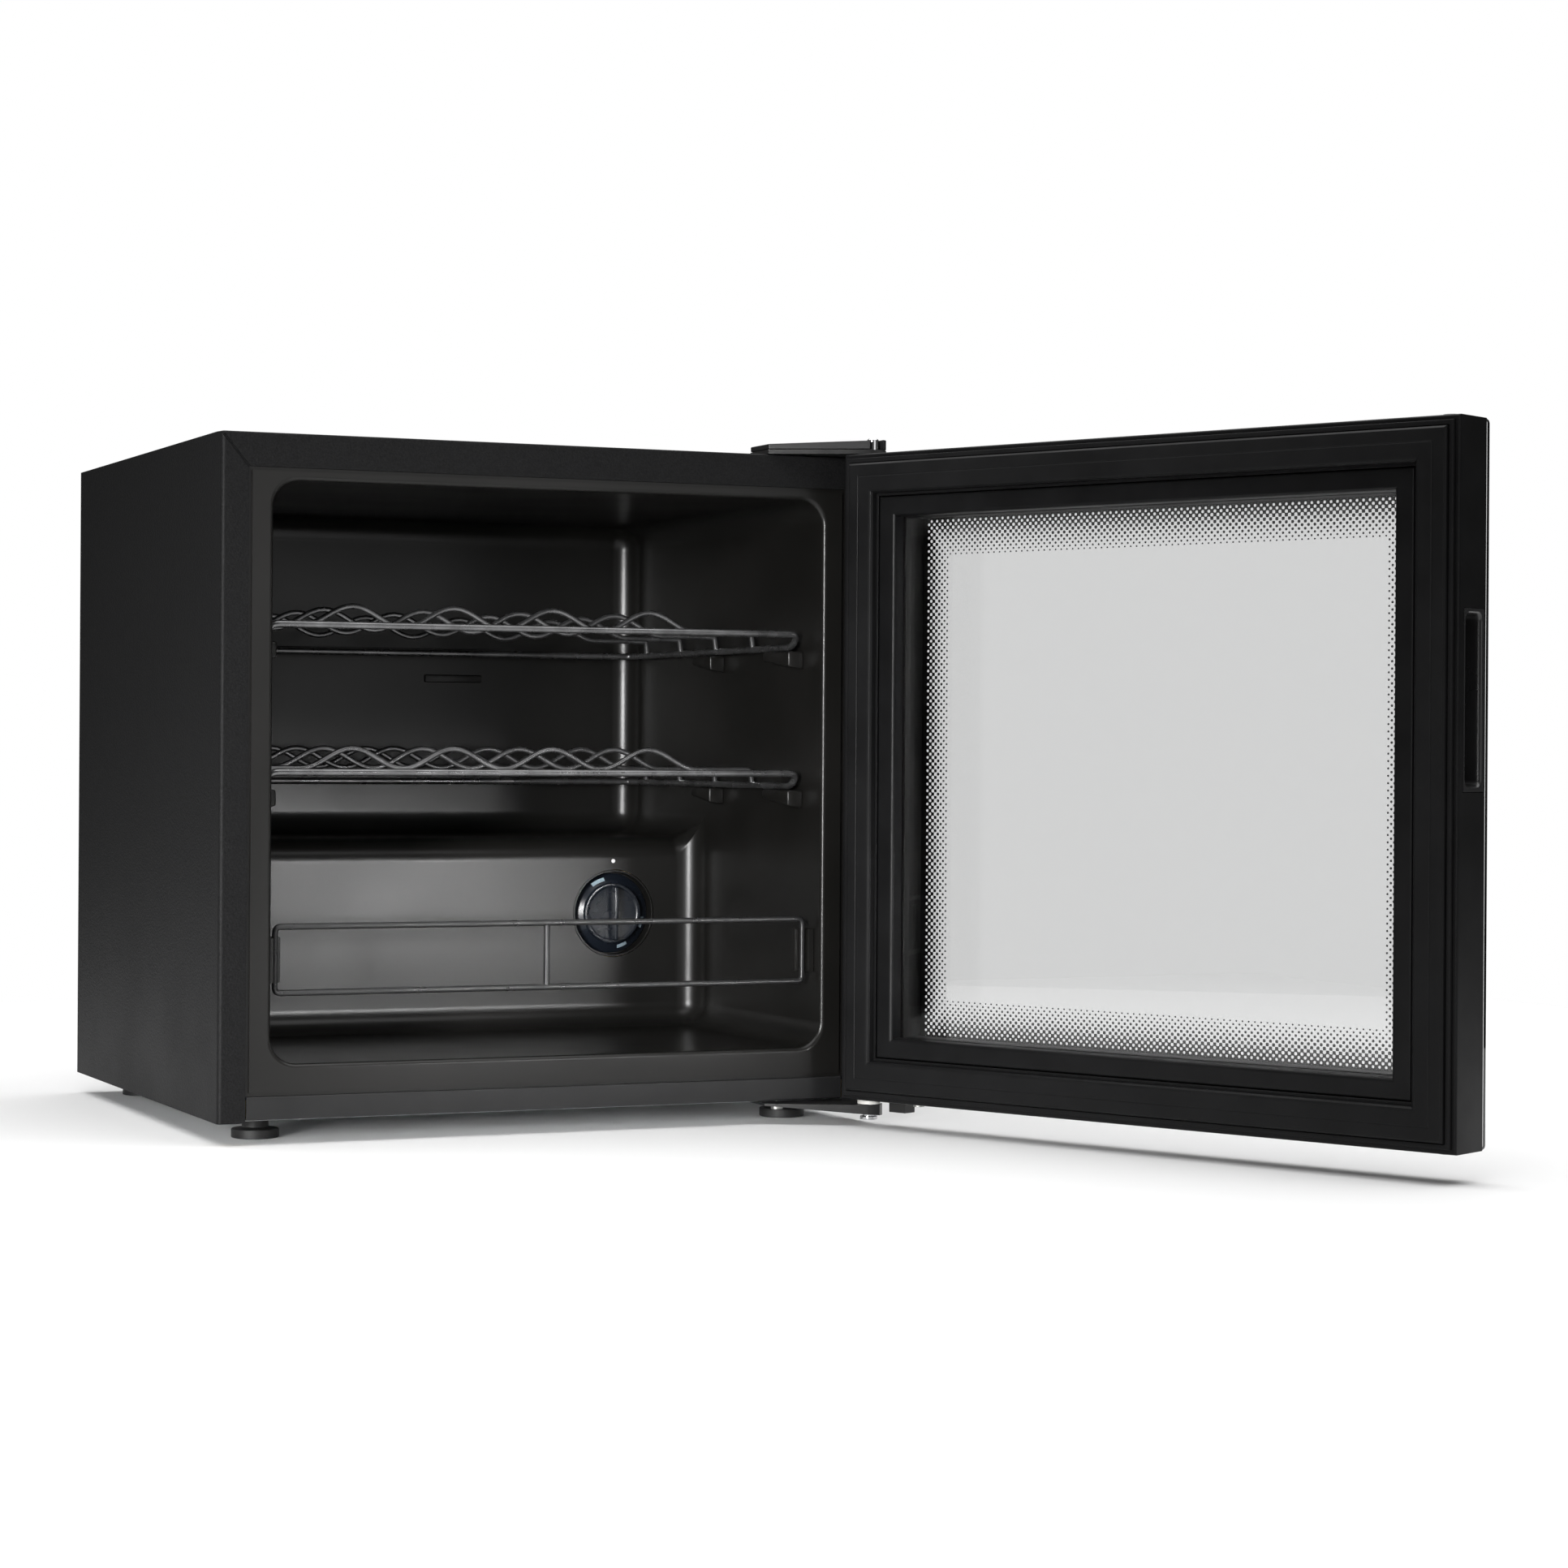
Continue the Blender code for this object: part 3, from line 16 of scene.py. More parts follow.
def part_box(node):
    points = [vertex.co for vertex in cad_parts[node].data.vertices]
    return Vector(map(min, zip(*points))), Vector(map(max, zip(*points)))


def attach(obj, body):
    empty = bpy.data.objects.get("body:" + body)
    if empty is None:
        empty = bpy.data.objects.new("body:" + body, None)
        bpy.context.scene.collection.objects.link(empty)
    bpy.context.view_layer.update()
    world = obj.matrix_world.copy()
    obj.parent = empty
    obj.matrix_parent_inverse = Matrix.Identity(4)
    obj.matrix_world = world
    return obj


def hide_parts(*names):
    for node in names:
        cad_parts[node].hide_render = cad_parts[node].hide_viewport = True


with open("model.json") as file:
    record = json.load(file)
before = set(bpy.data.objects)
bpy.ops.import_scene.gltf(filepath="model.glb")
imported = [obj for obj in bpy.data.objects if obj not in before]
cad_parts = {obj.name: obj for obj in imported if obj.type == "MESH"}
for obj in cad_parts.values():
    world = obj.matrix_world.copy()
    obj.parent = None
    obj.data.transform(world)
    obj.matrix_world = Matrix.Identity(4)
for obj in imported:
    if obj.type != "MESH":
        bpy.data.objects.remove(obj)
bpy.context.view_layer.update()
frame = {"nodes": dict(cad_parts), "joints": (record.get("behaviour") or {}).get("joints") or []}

# %% [markdown]
# ## Two rulers
# The cabinet's front lower corner is the natural place to measure from, so `at` turns
# millimetres from there into the frame's metres. The door is easiest to model shut, as one would
# on a bench. `DOOR_OPEN` then swings it about its pins to the angle where it stands.

# %% Measure from the cabinet and the hinge
MM = 0.001
shell_low, shell_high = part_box("outer_shell")
CABINET = Vector(((shell_low.x + shell_high.x) / 2, shell_low.y, shell_low.z))
swing = next(joint for joint in frame["joints"] if joint["name"] == "door_swing")
PIN = Vector(swing["pos_m"])
DOOR_ANGLE = -math.radians(swing["range_deg"][0])
DOOR_OPEN = Matrix.Translation(PIN) @ Matrix.Rotation(DOOR_ANGLE, 4, "Z") @ Matrix.Translation(-PIN)
# The shut door in millimetres: its width, its ends and the level of its inner face.
DOOR_W, DOOR_LOW, DOOR_HIGH = 471, 4.2, 451.5
DOOR_FACE = -6


def at(x, y, z):
    """Millimetres from the middle of the cabinet's front lower edge, as a place in the frame."""
    return CABINET + Vector((x, y, z)) * MM


print("cabinet corner", tuple(CABINET), "door open by", round(math.degrees(DOOR_ANGLE), 1))

# %% [markdown]
# ## Helpers for the bench
# An operator works on whatever is selected, so the first helpers make the selection plain.
# `soften` rounds the sharp edges, and `even_normals` lets the large faces decide the shading.
# `settle` is the last step of each piece: its place goes into its mesh, and it is named,
# painted and hung on the body that it moves with.

# %% Pick, edit and choose


def pick(obj):
    """Makes this the only selected object, and the active one."""
    bpy.ops.object.select_all(action="DESELECT")
    obj.select_set(True)
    bpy.context.view_layer.objects.active = obj
    return obj


def edit(obj):
    """Opens a piece in edit mode."""
    pick(obj)
    bpy.ops.object.mode_set(mode="EDIT")


def done():
    """Goes back to object mode."""
    bpy.ops.object.mode_set(mode="OBJECT")


def choose(test, kind="FACE"):
    """In edit mode, selects only the faces, edges or vertices that pass a test."""
    obj = bpy.context.edit_object
    bpy.ops.mesh.select_mode(type=kind)
    bpy.ops.mesh.select_all(action="DESELECT")
    mesh = bmesh.from_edit_mesh(obj.data)
    chosen = {"VERT": mesh.verts, "EDGE": mesh.edges, "FACE": mesh.faces}[kind]
    count = 0
    for part in chosen:
        if test(part):
            part.select_set(True)
            count += 1
    mesh.select_flush_mode()
    bmesh.update_edit_mesh(obj.data)
    return count


def choose_all():
    """In edit mode, selects everything."""
    bpy.ops.mesh.select_all(action="SELECT")


def near(value, target, slack=0.2):
    """Whether two places are the same within so many millimetres."""
    return abs(value - target) < slack * MM


# %% Soften, even out and settle


def fix_in_place():
    """Puts the selected object's place, turn and size into its mesh."""
    bpy.ops.object.transform_apply(location=True, rotation=True, scale=True)


def shade_smooth(angle):
    """Shades the selected object smoothly, except where faces meet at more than so many degrees."""
    bpy.ops.object.shade_smooth_by_angle(angle=math.radians(angle))


def soften(obj, width, steps=2, angle=30):
    """Rounds the sharp edges and lets the flat faces keep their own normals."""
    pick(obj)
    bevel = obj.modifiers.new("Soft edges", "BEVEL")
    bevel.width = width
    bevel.segments = steps
    bevel.limit_method = "ANGLE"
    bevel.angle_limit = math.radians(angle)
    bevel.miter_outer = "MITER_ARC"
    bpy.ops.object.modifier_apply(modifier=bevel.name)
    shade_smooth(angle + 8)
    return obj


def even_normals(obj):
    """Large faces decide the shading, so that a flat wall beside a fillet stays flat."""
    pick(obj)
    weigh = obj.modifiers.new("Even normals", "WEIGHTED_NORMAL")
    weigh.keep_sharp = True
    weigh.weight = 90
    bpy.ops.object.modifier_apply(modifier=weigh.name)
    return obj


def settle(obj, name, material, body, nodes=()):
    """Names a finished piece, puts its place in its mesh, and hangs it on its body."""
    pick(obj)
    fix_in_place()
    obj.name = name
    obj.data.name = name
    obj.data.materials.clear()
    obj.data.materials.append(material)
    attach(obj, body)
    if nodes:
        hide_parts(*nodes)
    print(f"{name}: {len(obj.data.polygons)} faces on {body}")
    return obj


# %% [markdown]
# ## Finishes
# Almost everything here is black, so the finishes have to differ in how they throw light back.
# Sheet steel is powder coated and has a fine orange peel. The moulded parts are satin, the
# gasket is duller, the liner is glossier and slightly warm. Each finish is one Principled
# shader, with noise in Object coordinates for its grain and its patches of wear.

# %% A shader with grain and patches


def finish(name, colour, roughness, metallic=0.0, specular=0.5):
    """A new material with one plain Principled shader."""
    material = bpy.data.materials.new(name)
    material.use_nodes = True
    shader = material.node_tree.nodes["Principled BSDF"]
    shader.inputs["Base Color"].default_value = (*colour, 1)
    shader.inputs["Roughness"].default_value = roughness
    shader.inputs["Metallic"].default_value = metallic
    shader.inputs["Specular IOR Level"].default_value = specular
    print("finish:", name)
    return material


def noise(material, scale, detail, stretch=(1, 1, 1), turn=0.0):
    """A noise texture in Object coordinates, stretched and turned about the upright axis."""
    nodes, links = material.node_tree.nodes, material.node_tree.links
    place = nodes.new("ShaderNodeTexCoord")
    spread = nodes.new("ShaderNodeMapping")
    spread.inputs["Rotation"].default_value = (0, 0, turn)
    spread.inputs["Scale"].default_value = stretch
    texture = nodes.new("ShaderNodeTexNoise")
    texture.inputs["Scale"].default_value = scale
    texture.inputs["Detail"].default_value = detail
    links.new(place.outputs["Object"], spread.inputs["Vector"])
    links.new(spread.outputs["Vector"], texture.inputs["Vector"])
    return texture.outputs["Fac"]


def grain(material, scale, detail, strength, distance, **spread):
    """A bump from noise, on top of any bump that is there already."""
    source = noise(material, scale, detail, **spread)
    nodes, links = material.node_tree.nodes, material.node_tree.links
    shader = nodes["Principled BSDF"]
    bump = nodes.new("ShaderNodeBump")
    bump.inputs["Strength"].default_value = strength
    bump.inputs["Distance"].default_value = distance
    links.new(source, bump.inputs["Height"])
    if shader.inputs["Normal"].links:
        links.new(shader.inputs["Normal"].links[0].from_socket, bump.inputs["Normal"])
    links.new(bump.outputs["Normal"], shader.inputs["Normal"])


def patches(material, scale, detail, socket, low, high, start=0.35, end=0.65, **spread):
    """Lets noise move the roughness or the colour between two values."""
    source = noise(material, scale, detail, **spread)
    nodes, links = material.node_tree.nodes, material.node_tree.links
    ramp = nodes.new("ShaderNodeValToRGB")
    as_colour = [value if isinstance(value, tuple) else (value,) * 3 for value in (low, high)]
    for stop, place, colour in zip(ramp.color_ramp.elements, (start, end), as_colour):
        stop.position = place
        stop.color = (*colour, 1)
    links.new(source, ramp.inputs["Fac"])
    links.new(ramp.outputs["Color"], nodes["Principled BSDF"].inputs[socket])


# %% Coated steel
enamel = finish("black_sheet_enamel", (0.0045, 0.0045, 0.0047), 0.5, specular=0.12)
grain(enamel, 750, 2, 0.35, 0.0008)
patches(enamel, 14, 4, "Roughness", 0.5, 0.55)
patches(enamel, 900, 2, "Base Color", (0.0045, 0.0045, 0.0047), (0.009, 0.009, 0.0093))

black_steel = finish("black_steel", (0.008, 0.008, 0.008), 0.36, specular=0.45)
grain(black_steel, 700, 3, 0.2, 0.0003)
patches(black_steel, 30, 4, "Roughness", 0.3, 0.44)
patches(black_steel, 60, 5, "Base Color", (0.006, 0.006, 0.006), (0.011, 0.0108, 0.0105))

# %% [markdown]
# Moulded plastic has a finer grain than powder coat. The door's long mouldings also carry faint
# streaks along their length, as extrusions do, and the liner is drawn from a glossier sheet.

# %% Mouldings, seals and liner
moulding = finish("satin_black_moulding", (0.0075, 0.0075, 0.0078), 0.42, specular=0.4)
grain(moulding, 2200, 2, 0.12, 0.00015)
patches(moulding, 20, 4, "Roughness", 0.36, 0.46)
patches(moulding, 40, 4, "Base Color", (0.0065, 0.0065, 0.0068), (0.009, 0.009, 0.0093))

door_moulding = finish("door_frame_moulding", (0.0035, 0.0035, 0.0037), 0.38, specular=0.16)
grain(door_moulding, 120, 3, 0.06, 0.0002, stretch=(1, 30, 1), turn=-DOOR_ANGLE)
grain(door_moulding, 2200, 2, 0.1, 0.00015)
patches(door_moulding, 25, 4, "Roughness", 0.36, 0.46)
patches(door_moulding, 35, 4, "Base Color", (0.0033, 0.0033, 0.0035), (0.005, 0.005, 0.0053))

seal = finish("door_seal_vinyl", (0.004, 0.004, 0.0043), 0.46, specular=0.17)
grain(seal, 60, 3, 0.12, 0.0006)
grain(seal, 1200, 2, 0.1, 0.0002)
patches(seal, 18, 5, "Roughness", 0.44, 0.58)
patches(seal, 30, 4, "Base Color", (0.0033, 0.0033, 0.0035), (0.005, 0.005, 0.0053))

liner = finish("warm_black_liner", (0.007, 0.0067, 0.0062), 0.3, specular=0.32)
grain(liner, 1100, 2, 0.12, 0.0002)
patches(liner, 9, 2, "Roughness", 0.28, 0.32)
patches(liner, 10, 4, "Base Color", (0.006, 0.0058, 0.0053), (0.0082, 0.0078, 0.0073))

matte_plastic = finish("matte_black_plastic", (0.012, 0.012, 0.012), 0.55, specular=0.4)
grain(matte_plastic, 1800, 2, 0.25, 0.0002)
patches(matte_plastic, 25, 4, "Roughness", 0.48, 0.62)

grip_plastic = finish("grip_gloss_black", (0.012, 0.012, 0.0125), 0.3, specular=0.6)
grain(grip_plastic, 900, 2, 0.06, 0.0001)
patches(grip_plastic, 40, 3, "Roughness", 0.26, 0.34)

rubber = finish("grommet_rubber", (0.014, 0.014, 0.013), 0.75, specular=0.3)
grain(rubber, 1500, 3, 0.3, 0.0003)
patches(rubber, 60, 4, "Roughness", 0.65, 0.85)

white_plastic = finish("bush_white_plastic", (0.62, 0.61, 0.58), 0.42)
grain(white_plastic, 1500, 2, 0.1, 0.0002)
patches(white_plastic, 80, 4, "Base Color", (0.58, 0.57, 0.53), (0.66, 0.65, 0.62))

# %% [markdown]
# A metal takes its colour from the base colour and its character from the roughness. The
# shelves' chrome is smoky and a little uneven, galvanised sheet shows its large crystals, and
# bare copper has darkened in patches.

# %% Plated and bare metals
shelf_chrome = finish("smoked_chrome_wire", (0.16, 0.16, 0.163), 0.28, metallic=0.85)
grain(shelf_chrome, 600, 3, 0.1, 0.0002)
patches(shelf_chrome, 45, 4, "Roughness", 0.2, 0.36)
patches(shelf_chrome, 70, 4, "Base Color", (0.13, 0.13, 0.132), (0.2, 0.2, 0.203))

coated_wire = finish("black_coated_wire", (0.012, 0.012, 0.0125), 0.32, specular=0.5)
grain(coated_wire, 900, 3, 0.15, 0.0002)
patches(coated_wire, 50, 4, "Roughness", 0.26, 0.42)

chrome = finish("hinge_pin_chrome", (0.62, 0.62, 0.63), 0.12, metallic=1.0)
patches(chrome, 500, 3, "Roughness", 0.08, 0.2, stretch=(1, 1, 0.1))

zinc = finish("zinc_screw", (0.5, 0.5, 0.48), 0.34, metallic=1.0)
patches(zinc, 300, 4, "Roughness", 0.26, 0.45)
patches(zinc, 200, 4, "Base Color", (0.42, 0.42, 0.4), (0.58, 0.58, 0.55))

galvanised = finish("galvanised_sheet", (0.42, 0.43, 0.44), 0.42, metallic=0.9)
crystals = {"start": 0.45, "end": 0.55}
patches(galvanised, 90, 1, "Roughness", 0.32, 0.55, **crystals)
patches(galvanised, 110, 1, "Base Color", (0.33, 0.34, 0.35), (0.5, 0.51, 0.52), **crystals)

aluminium = finish("plate_aluminium", (0.7, 0.7, 0.71), 0.38, metallic=1.0)
patches(aluminium, 200, 3, "Roughness", 0.3, 0.46, stretch=(0.05, 1, 1))

copper = finish("tube_copper", (0.62, 0.28, 0.15), 0.34, metallic=1.0)
patches(copper, 80, 4, "Base Color", (0.42, 0.18, 0.1), (0.72, 0.36, 0.2))
patches(copper, 120, 4, "Roughness", 0.26, 0.5)

foam = finish("polyurethane_foam", (0.62, 0.5, 0.24), 0.9)
grain(foam, 500, 4, 0.6, 0.001)
patches(foam, 120, 4, "Base Color", (0.5, 0.38, 0.16), (0.7, 0.58, 0.3))

# %% [markdown]
# ## Glass
# Two clear panes stand in the door. Each takes a little light away and has a faint green-grey
# body colour, so that what is behind the window looks a shade darker than what is beside it.

# %% Clear glass
glass = finish("window_glass", (0.81, 0.812, 0.812), 0.0, specular=0.5)
pane_shader = glass.node_tree.nodes["Principled BSDF"]
pane_shader.inputs["Transmission Weight"].default_value = 1.0
pane_shader.inputs["IOR"].default_value = 1.45
grain(glass, 3, 1, 0.02, 0.0005)

# %% [markdown]
# ## The parts that keep their shape
# A copy of a frame part is welded, its loose triangles are joined into whole faces, and its
# edges are rounded by a fraction of a millimetre. A knife-sharp edge never catches light, and
# this one bright line is most of what makes a black box look real.

# %% Copy, weld and soften


def welded(node):
    """A copy of a frame part with its loose triangles joined into whole faces."""
    pick(frame["nodes"][node])
    bpy.ops.object.duplicate()
    piece = bpy.context.view_layer.objects.active
    piece.parent = None
    for key in list(piece.keys()):
        del piece[key]
    pick(piece)
    if piece.data.has_custom_normals:
        bpy.ops.mesh.customdata_custom_splitnormals_clear()
    edit(piece)
    choose_all()
    bpy.ops.mesh.remove_doubles(threshold=0.000005)
    bpy.ops.mesh.dissolve_limited(angle_limit=math.radians(0.5))
    done()
    return piece


def polished(node, material, width, body="cabinet", angle=30):
    """A copy of a frame part with soft edges, ready on its body."""
    piece = welded(node)
    soften(piece, width * MM, angle=angle)
    even_normals(piece)
    return settle(piece, node + "_finished", material, body, [node])


# %% The cabinet's plain parts: material, slot and edge radius in millimetres
CABINET_PARTS = {
    "bottom_front_rail": (moulding, "satin_plastic", 0.4),
    "rear_panel": (enamel, "painted_steel", 0.2),
    "compartment_hood": (galvanised, "galvanised", 0.2),
    "base_pan": (galvanised, "galvanised", 0.2),
    "evaporator_plate": (aluminium, "bare_aluminium", 0.2),
    "thermostat_body": (galvanised, "galvanised", 0.3),
    "terminal_cover": (matte_plastic, "black_plastic", 0.6),
    "drip_tray": (matte_plastic, "black_plastic", 0.3),
    "drain_tube": (matte_plastic, "black_plastic", 0.2),
    "cord_gland": (matte_plastic, "black_plastic", 0.5),
    "condenser_bracket_left": (matte_plastic, "black_plastic", 0.5),
    "condenser_bracket_right": (matte_plastic, "black_plastic", 0.5),
    "condenser_wires": (black_steel, "black_steel", 0.15),
    "compressor_plate": (black_steel, "black_steel", 0.3),
    "rear_foot_left": (matte_plastic, "black_plastic", 0.8),
    "rear_foot_right": (matte_plastic, "black_plastic", 0.8),
    "guard_rail_clip_left": (liner, "liner_plastic", 0.5),
    "guard_rail_clip_right": (liner, "liner_plastic", 0.5),
    "upper_hinge_plate": (black_steel, "black_steel", 0.3),
    "lower_hinge_bracket": (black_steel, "black_steel", 0.5),
    "lower_hinge_washer": (white_plastic, "white_plastic", 0.2),
}
for node, (material, slot, width) in CABINET_PARTS.items():
    polished(node, material, width)
for number in range(1, 5):
    polished(f"compressor_grommet_{number}", rubber, 0.4)
for place in ("upper", "lower"):
    polished(f"{place}_hinge_pin", chrome, 0.25)
    polished(f"{place}_hinge_bush", white_plastic, 0.2, body="door")
    for number in (1, 2):
        polished(f"{place}_hinge_screw_{number}", zinc, 0.25)

# %% [markdown]
# The shell's front flanges are folded from the side and top sheets and meet in a mitre at each
# upper corner. A thin bar laid along the mitre cuts the seam, as a saw would.

# %% Add a primitive, and cut one shape out of another


def added(primitive, **options):
    """Adds a primitive with nothing else selected, and hands it back."""
    bpy.ops.object.select_all(action="DESELECT")
    primitive(**options)
    return bpy.context.object


def cut(obj, cutter):
    """Takes one closed shape out of another, and clears the cutter away."""
    pick(obj)
    saw = obj.modifiers.new("Cut", "BOOLEAN")
    saw.object = cutter
    saw.solver = "EXACT"
    bpy.ops.object.modifier_apply(modifier=saw.name)
    bpy.data.objects.remove(cutter)


# %% Cut the mitres into the shell
SIDE_FLANGE, TOP_FLANGE, SHELL_HALF_W, SHELL_HIGH = 18.8, 22.5, 236, 452
SEAM_WIDTH, SEAM_DEPTH = 1.5, 1.0
shell = welded("outer_shell")
for side in (-1, 1):
    mitre = at(side * (SHELL_HALF_W - SIDE_FLANGE / 2), 0, SHELL_HIGH - TOP_FLANGE / 2)
    bar = added(bpy.ops.mesh.primitive_cube_add, size=1, location=mitre)
    bar.scale = (SEAM_WIDTH * MM, 2 * SEAM_DEPTH * MM, 2 * TOP_FLANGE * MM)
    bar.rotation_euler = (0, side * math.atan2(SIDE_FLANGE, TOP_FLANGE), 0)
    cut(shell, bar)
soften(shell, 0.3 * MM)
even_normals(shell)
settle(shell, "outer_shell_finished", enamel, "cabinet", ["outer_shell"])

# %% [markdown]
# Foam fills the space between the shell and the liner. The liner's step is rounded and the
# foam's is square, so both faces of the foam's step are moved back from it. Otherwise its edge
# would come through the liner's.

# %% The foam stands back from the liner's rounded step
FOAM_GAP = 8
foam_block = welded("insulation_foam")
foam_step = at(0, 216.8, 178.2)
edit(foam_block)
choose(lambda vert: near(vert.co.y, foam_step.y, 0.5) and vert.co.z < foam_step.z + MM, "VERT")
bpy.ops.transform.translate(value=(0, FOAM_GAP * MM, 0))
choose(lambda vert: near(vert.co.z, foam_step.z, 0.5) and vert.co.y > foam_step.y, "VERT")
bpy.ops.transform.translate(value=(0, 0, -FOAM_GAP * MM))
done()
shade_smooth(30)
settle(foam_block, "foam_block", foam, "cabinet", ["insulation_foam"])

# %% [markdown]
# The cover over the upper hinge grows thinner towards the left and ends in a small blunt face.
# Raising the points at its low end gives it that face.

# %% The upper hinge cover has a blunt end
BLUNT_END = 2.8
cover = welded("upper_hinge_cover")
edit(cover)
low_end = at(157, 0, 456)
choose(lambda vert: near(vert.co.x, low_end.x, 0.5) and vert.co.z > low_end.z, "VERT")
bpy.ops.transform.translate(value=(0, 0, BLUNT_END * MM))
done()
soften(cover, 0.7 * MM)
even_normals(cover)
cover_name = "upper_hinge_cover"
settle(cover, cover_name + "_finished", moulding, "cabinet", [cover_name])

# %% [markdown]
# The door's frame, its plugs and its two panes keep their shape as well. The moulded frame has
# the roundest edges, and the small parts the sharpest. The front feet turn, so each rides on a
# body of its own.

# %% Parts of the door that keep their shape, and the front feet
DOOR_PARTS = {
    "door_frame": (door_moulding, "satin_plastic", 0.8),
    "door_stop_plate": (black_steel, "black_steel", 0.3),
    "door_stop_screw": (zinc, "zinc", 0.2),
    "hole_plug_top": (matte_plastic, "black_plastic", 0.3),
    "hole_plug_bottom": (matte_plastic, "black_plastic", 0.3),
    "outer_glass": (glass, "glass", 0.3),
    "inner_glass": (glass, "glass", 0.3),
}
for node, (material, slot, width) in DOOR_PARTS.items():
    polished(node, material, width, body="door")
for side in ("left", "right"):
    polished(f"front_foot_{side}", matte_plastic, 0.6, body=f"{side}_foot")

# %% [markdown]
# ## The liner
# The inside is one sheet of plastic drawn over a mould, so every corner is round and the mouth
# rolls over into a flat flange. It starts as a block in the space before the step over the
# compressor room. Its top is drawn up and its upper back is drawn backwards. The edges are then
# rounded, the front is opened, and the rim is rolled outwards.

# %% Draw the room out of one block
INNER_HALF_W, FLOOR, CEILING, BACK = 200, 38, 421, 345
STEP_FRONT, STEP_TOP = 215, 180
LIP, FLANGE_FRONT = 3, 0.4
mouth_y = FLANGE_FRONT + LIP


def draw_faces(y=0.0, z=0.0):
    """Extrudes the selected faces, in metres."""
    bpy.ops.mesh.extrude_region_move(TRANSFORM_OT_translate={"value": (0, y, z)})


start_block = at(0, (mouth_y + STEP_FRONT) / 2, (FLOOR + STEP_TOP) / 2)
room = added(bpy.ops.mesh.primitive_cube_add, size=1, location=start_block)
room.scale = (2 * INNER_HALF_W * MM, (STEP_FRONT - mouth_y) * MM, (STEP_TOP - FLOOR) * MM)
fix_in_place()
edit(room)
choose(lambda face: face.normal.z > 0.9)
draw_faces(z=(CEILING - STEP_TOP) * MM)
upper_middle = at(0, STEP_FRONT, (STEP_TOP + CEILING) / 2)
choose(lambda face: face.normal.y > 0.9 and (face.calc_center_median() - upper_middle).length < MM)
draw_faces(y=(BACK - STEP_FRONT) * MM)

# %% Round the folds and open the mouth
CORNER_R, CORNER_STEPS = 18, 8
mouth_level = at(0, mouth_y, 0).y


def is_fold(edge):
    """A true corner of the room: not on the mouth, and not a seam inside one flat wall."""
    if all(near(vert.co.y, mouth_level) for vert in edge.verts):
        return False
    return len(edge.link_faces) == 2 and edge.calc_face_angle(0) > 0.5


print("rounded folds:", choose(is_fold, "EDGE"))
bpy.ops.mesh.bevel(offset=CORNER_R * MM, segments=CORNER_STEPS, profile=0.5)
choose(lambda face: face.normal.y < -0.9 and near(face.calc_center_median().y, mouth_level))
bpy.ops.mesh.delete(type="FACE")


def turn_faces(inside=False):
    """In edit mode, turns all faces outwards or inwards, and closes the mesh again."""
    choose_all()
    bpy.ops.mesh.normals_make_consistent(inside=inside)
    done()


turn_faces(inside=True)

# %% [markdown]
# The mouth has round corners and the flange round it has square ones. The next helper moves a
# round-cornered outline out to a rectangle. Each half of a corner's arc is shared out along one
# of the two sides that meet there, so no edges cross.

# %% Stretch a round-cornered outline to a square-cornered one


def stretch_to_corners(obj, across, middle, half, corner_r, square):
    """Moves the selected outline out to a rectangle. across is 0 for x sideways, 1 for y."""
    mesh = bmesh.from_edit_mesh(obj.data)
    for vert in (vert for vert in mesh.verts if vert.select):
        side, up = vert.co[across] - middle[0], vert.co.z - middle[1]
        edge_side = square[2] if side > 0 else square[0]
        edge_up = square[3] if up > 0 else square[1]
        hub_side, hub_up = half[0] - corner_r, half[1] - corner_r
        out_side, out_up = abs(side) - hub_side, abs(up) - hub_up
        if out_side > -0.1 * MM and out_up > -0.1 * MM:
            share = math.atan2(max(out_up, 0), max(out_side, 1e-9)) / (math.pi / 2)
            hub_side = middle[0] + math.copysign(hub_side, side)
            hub_up = middle[1] + math.copysign(hub_up, up)
            if share <= 0.5:
                vert.co[across] = edge_side
                vert.co.z = hub_up + (edge_up - hub_up) * share * 2
            else:
                vert.co[across] = hub_side + (edge_side - hub_side) * (1 - share) * 2
                vert.co.z = edge_up
        elif out_side > out_up:
            vert.co[across] = edge_side
        else:
            vert.co.z = edge_up
    bmesh.update_edit_mesh(obj.data)


# %% [markdown]
# The rim is extruded round a quarter circle to make the lip, then outwards to make the flange.
# It turns back at the flange's edge, and a last skirt runs on behind the shell, so that no gap
# shows between the two.

# %% Roll the rim outwards into the flange
FLANGE_MM = (-214.7, 19.6, 214.7, 427.0)
LIP_STEPS, FLANGE_DEEP, SKIRT = 6, 1.7, 4.5


def draw_rim(x=0.0, y=0.0):
    """Extrudes the selected open edges, in metres."""
    bpy.ops.mesh.extrude_edges_move(TRANSFORM_OT_translate={"value": (x, y, 0)})


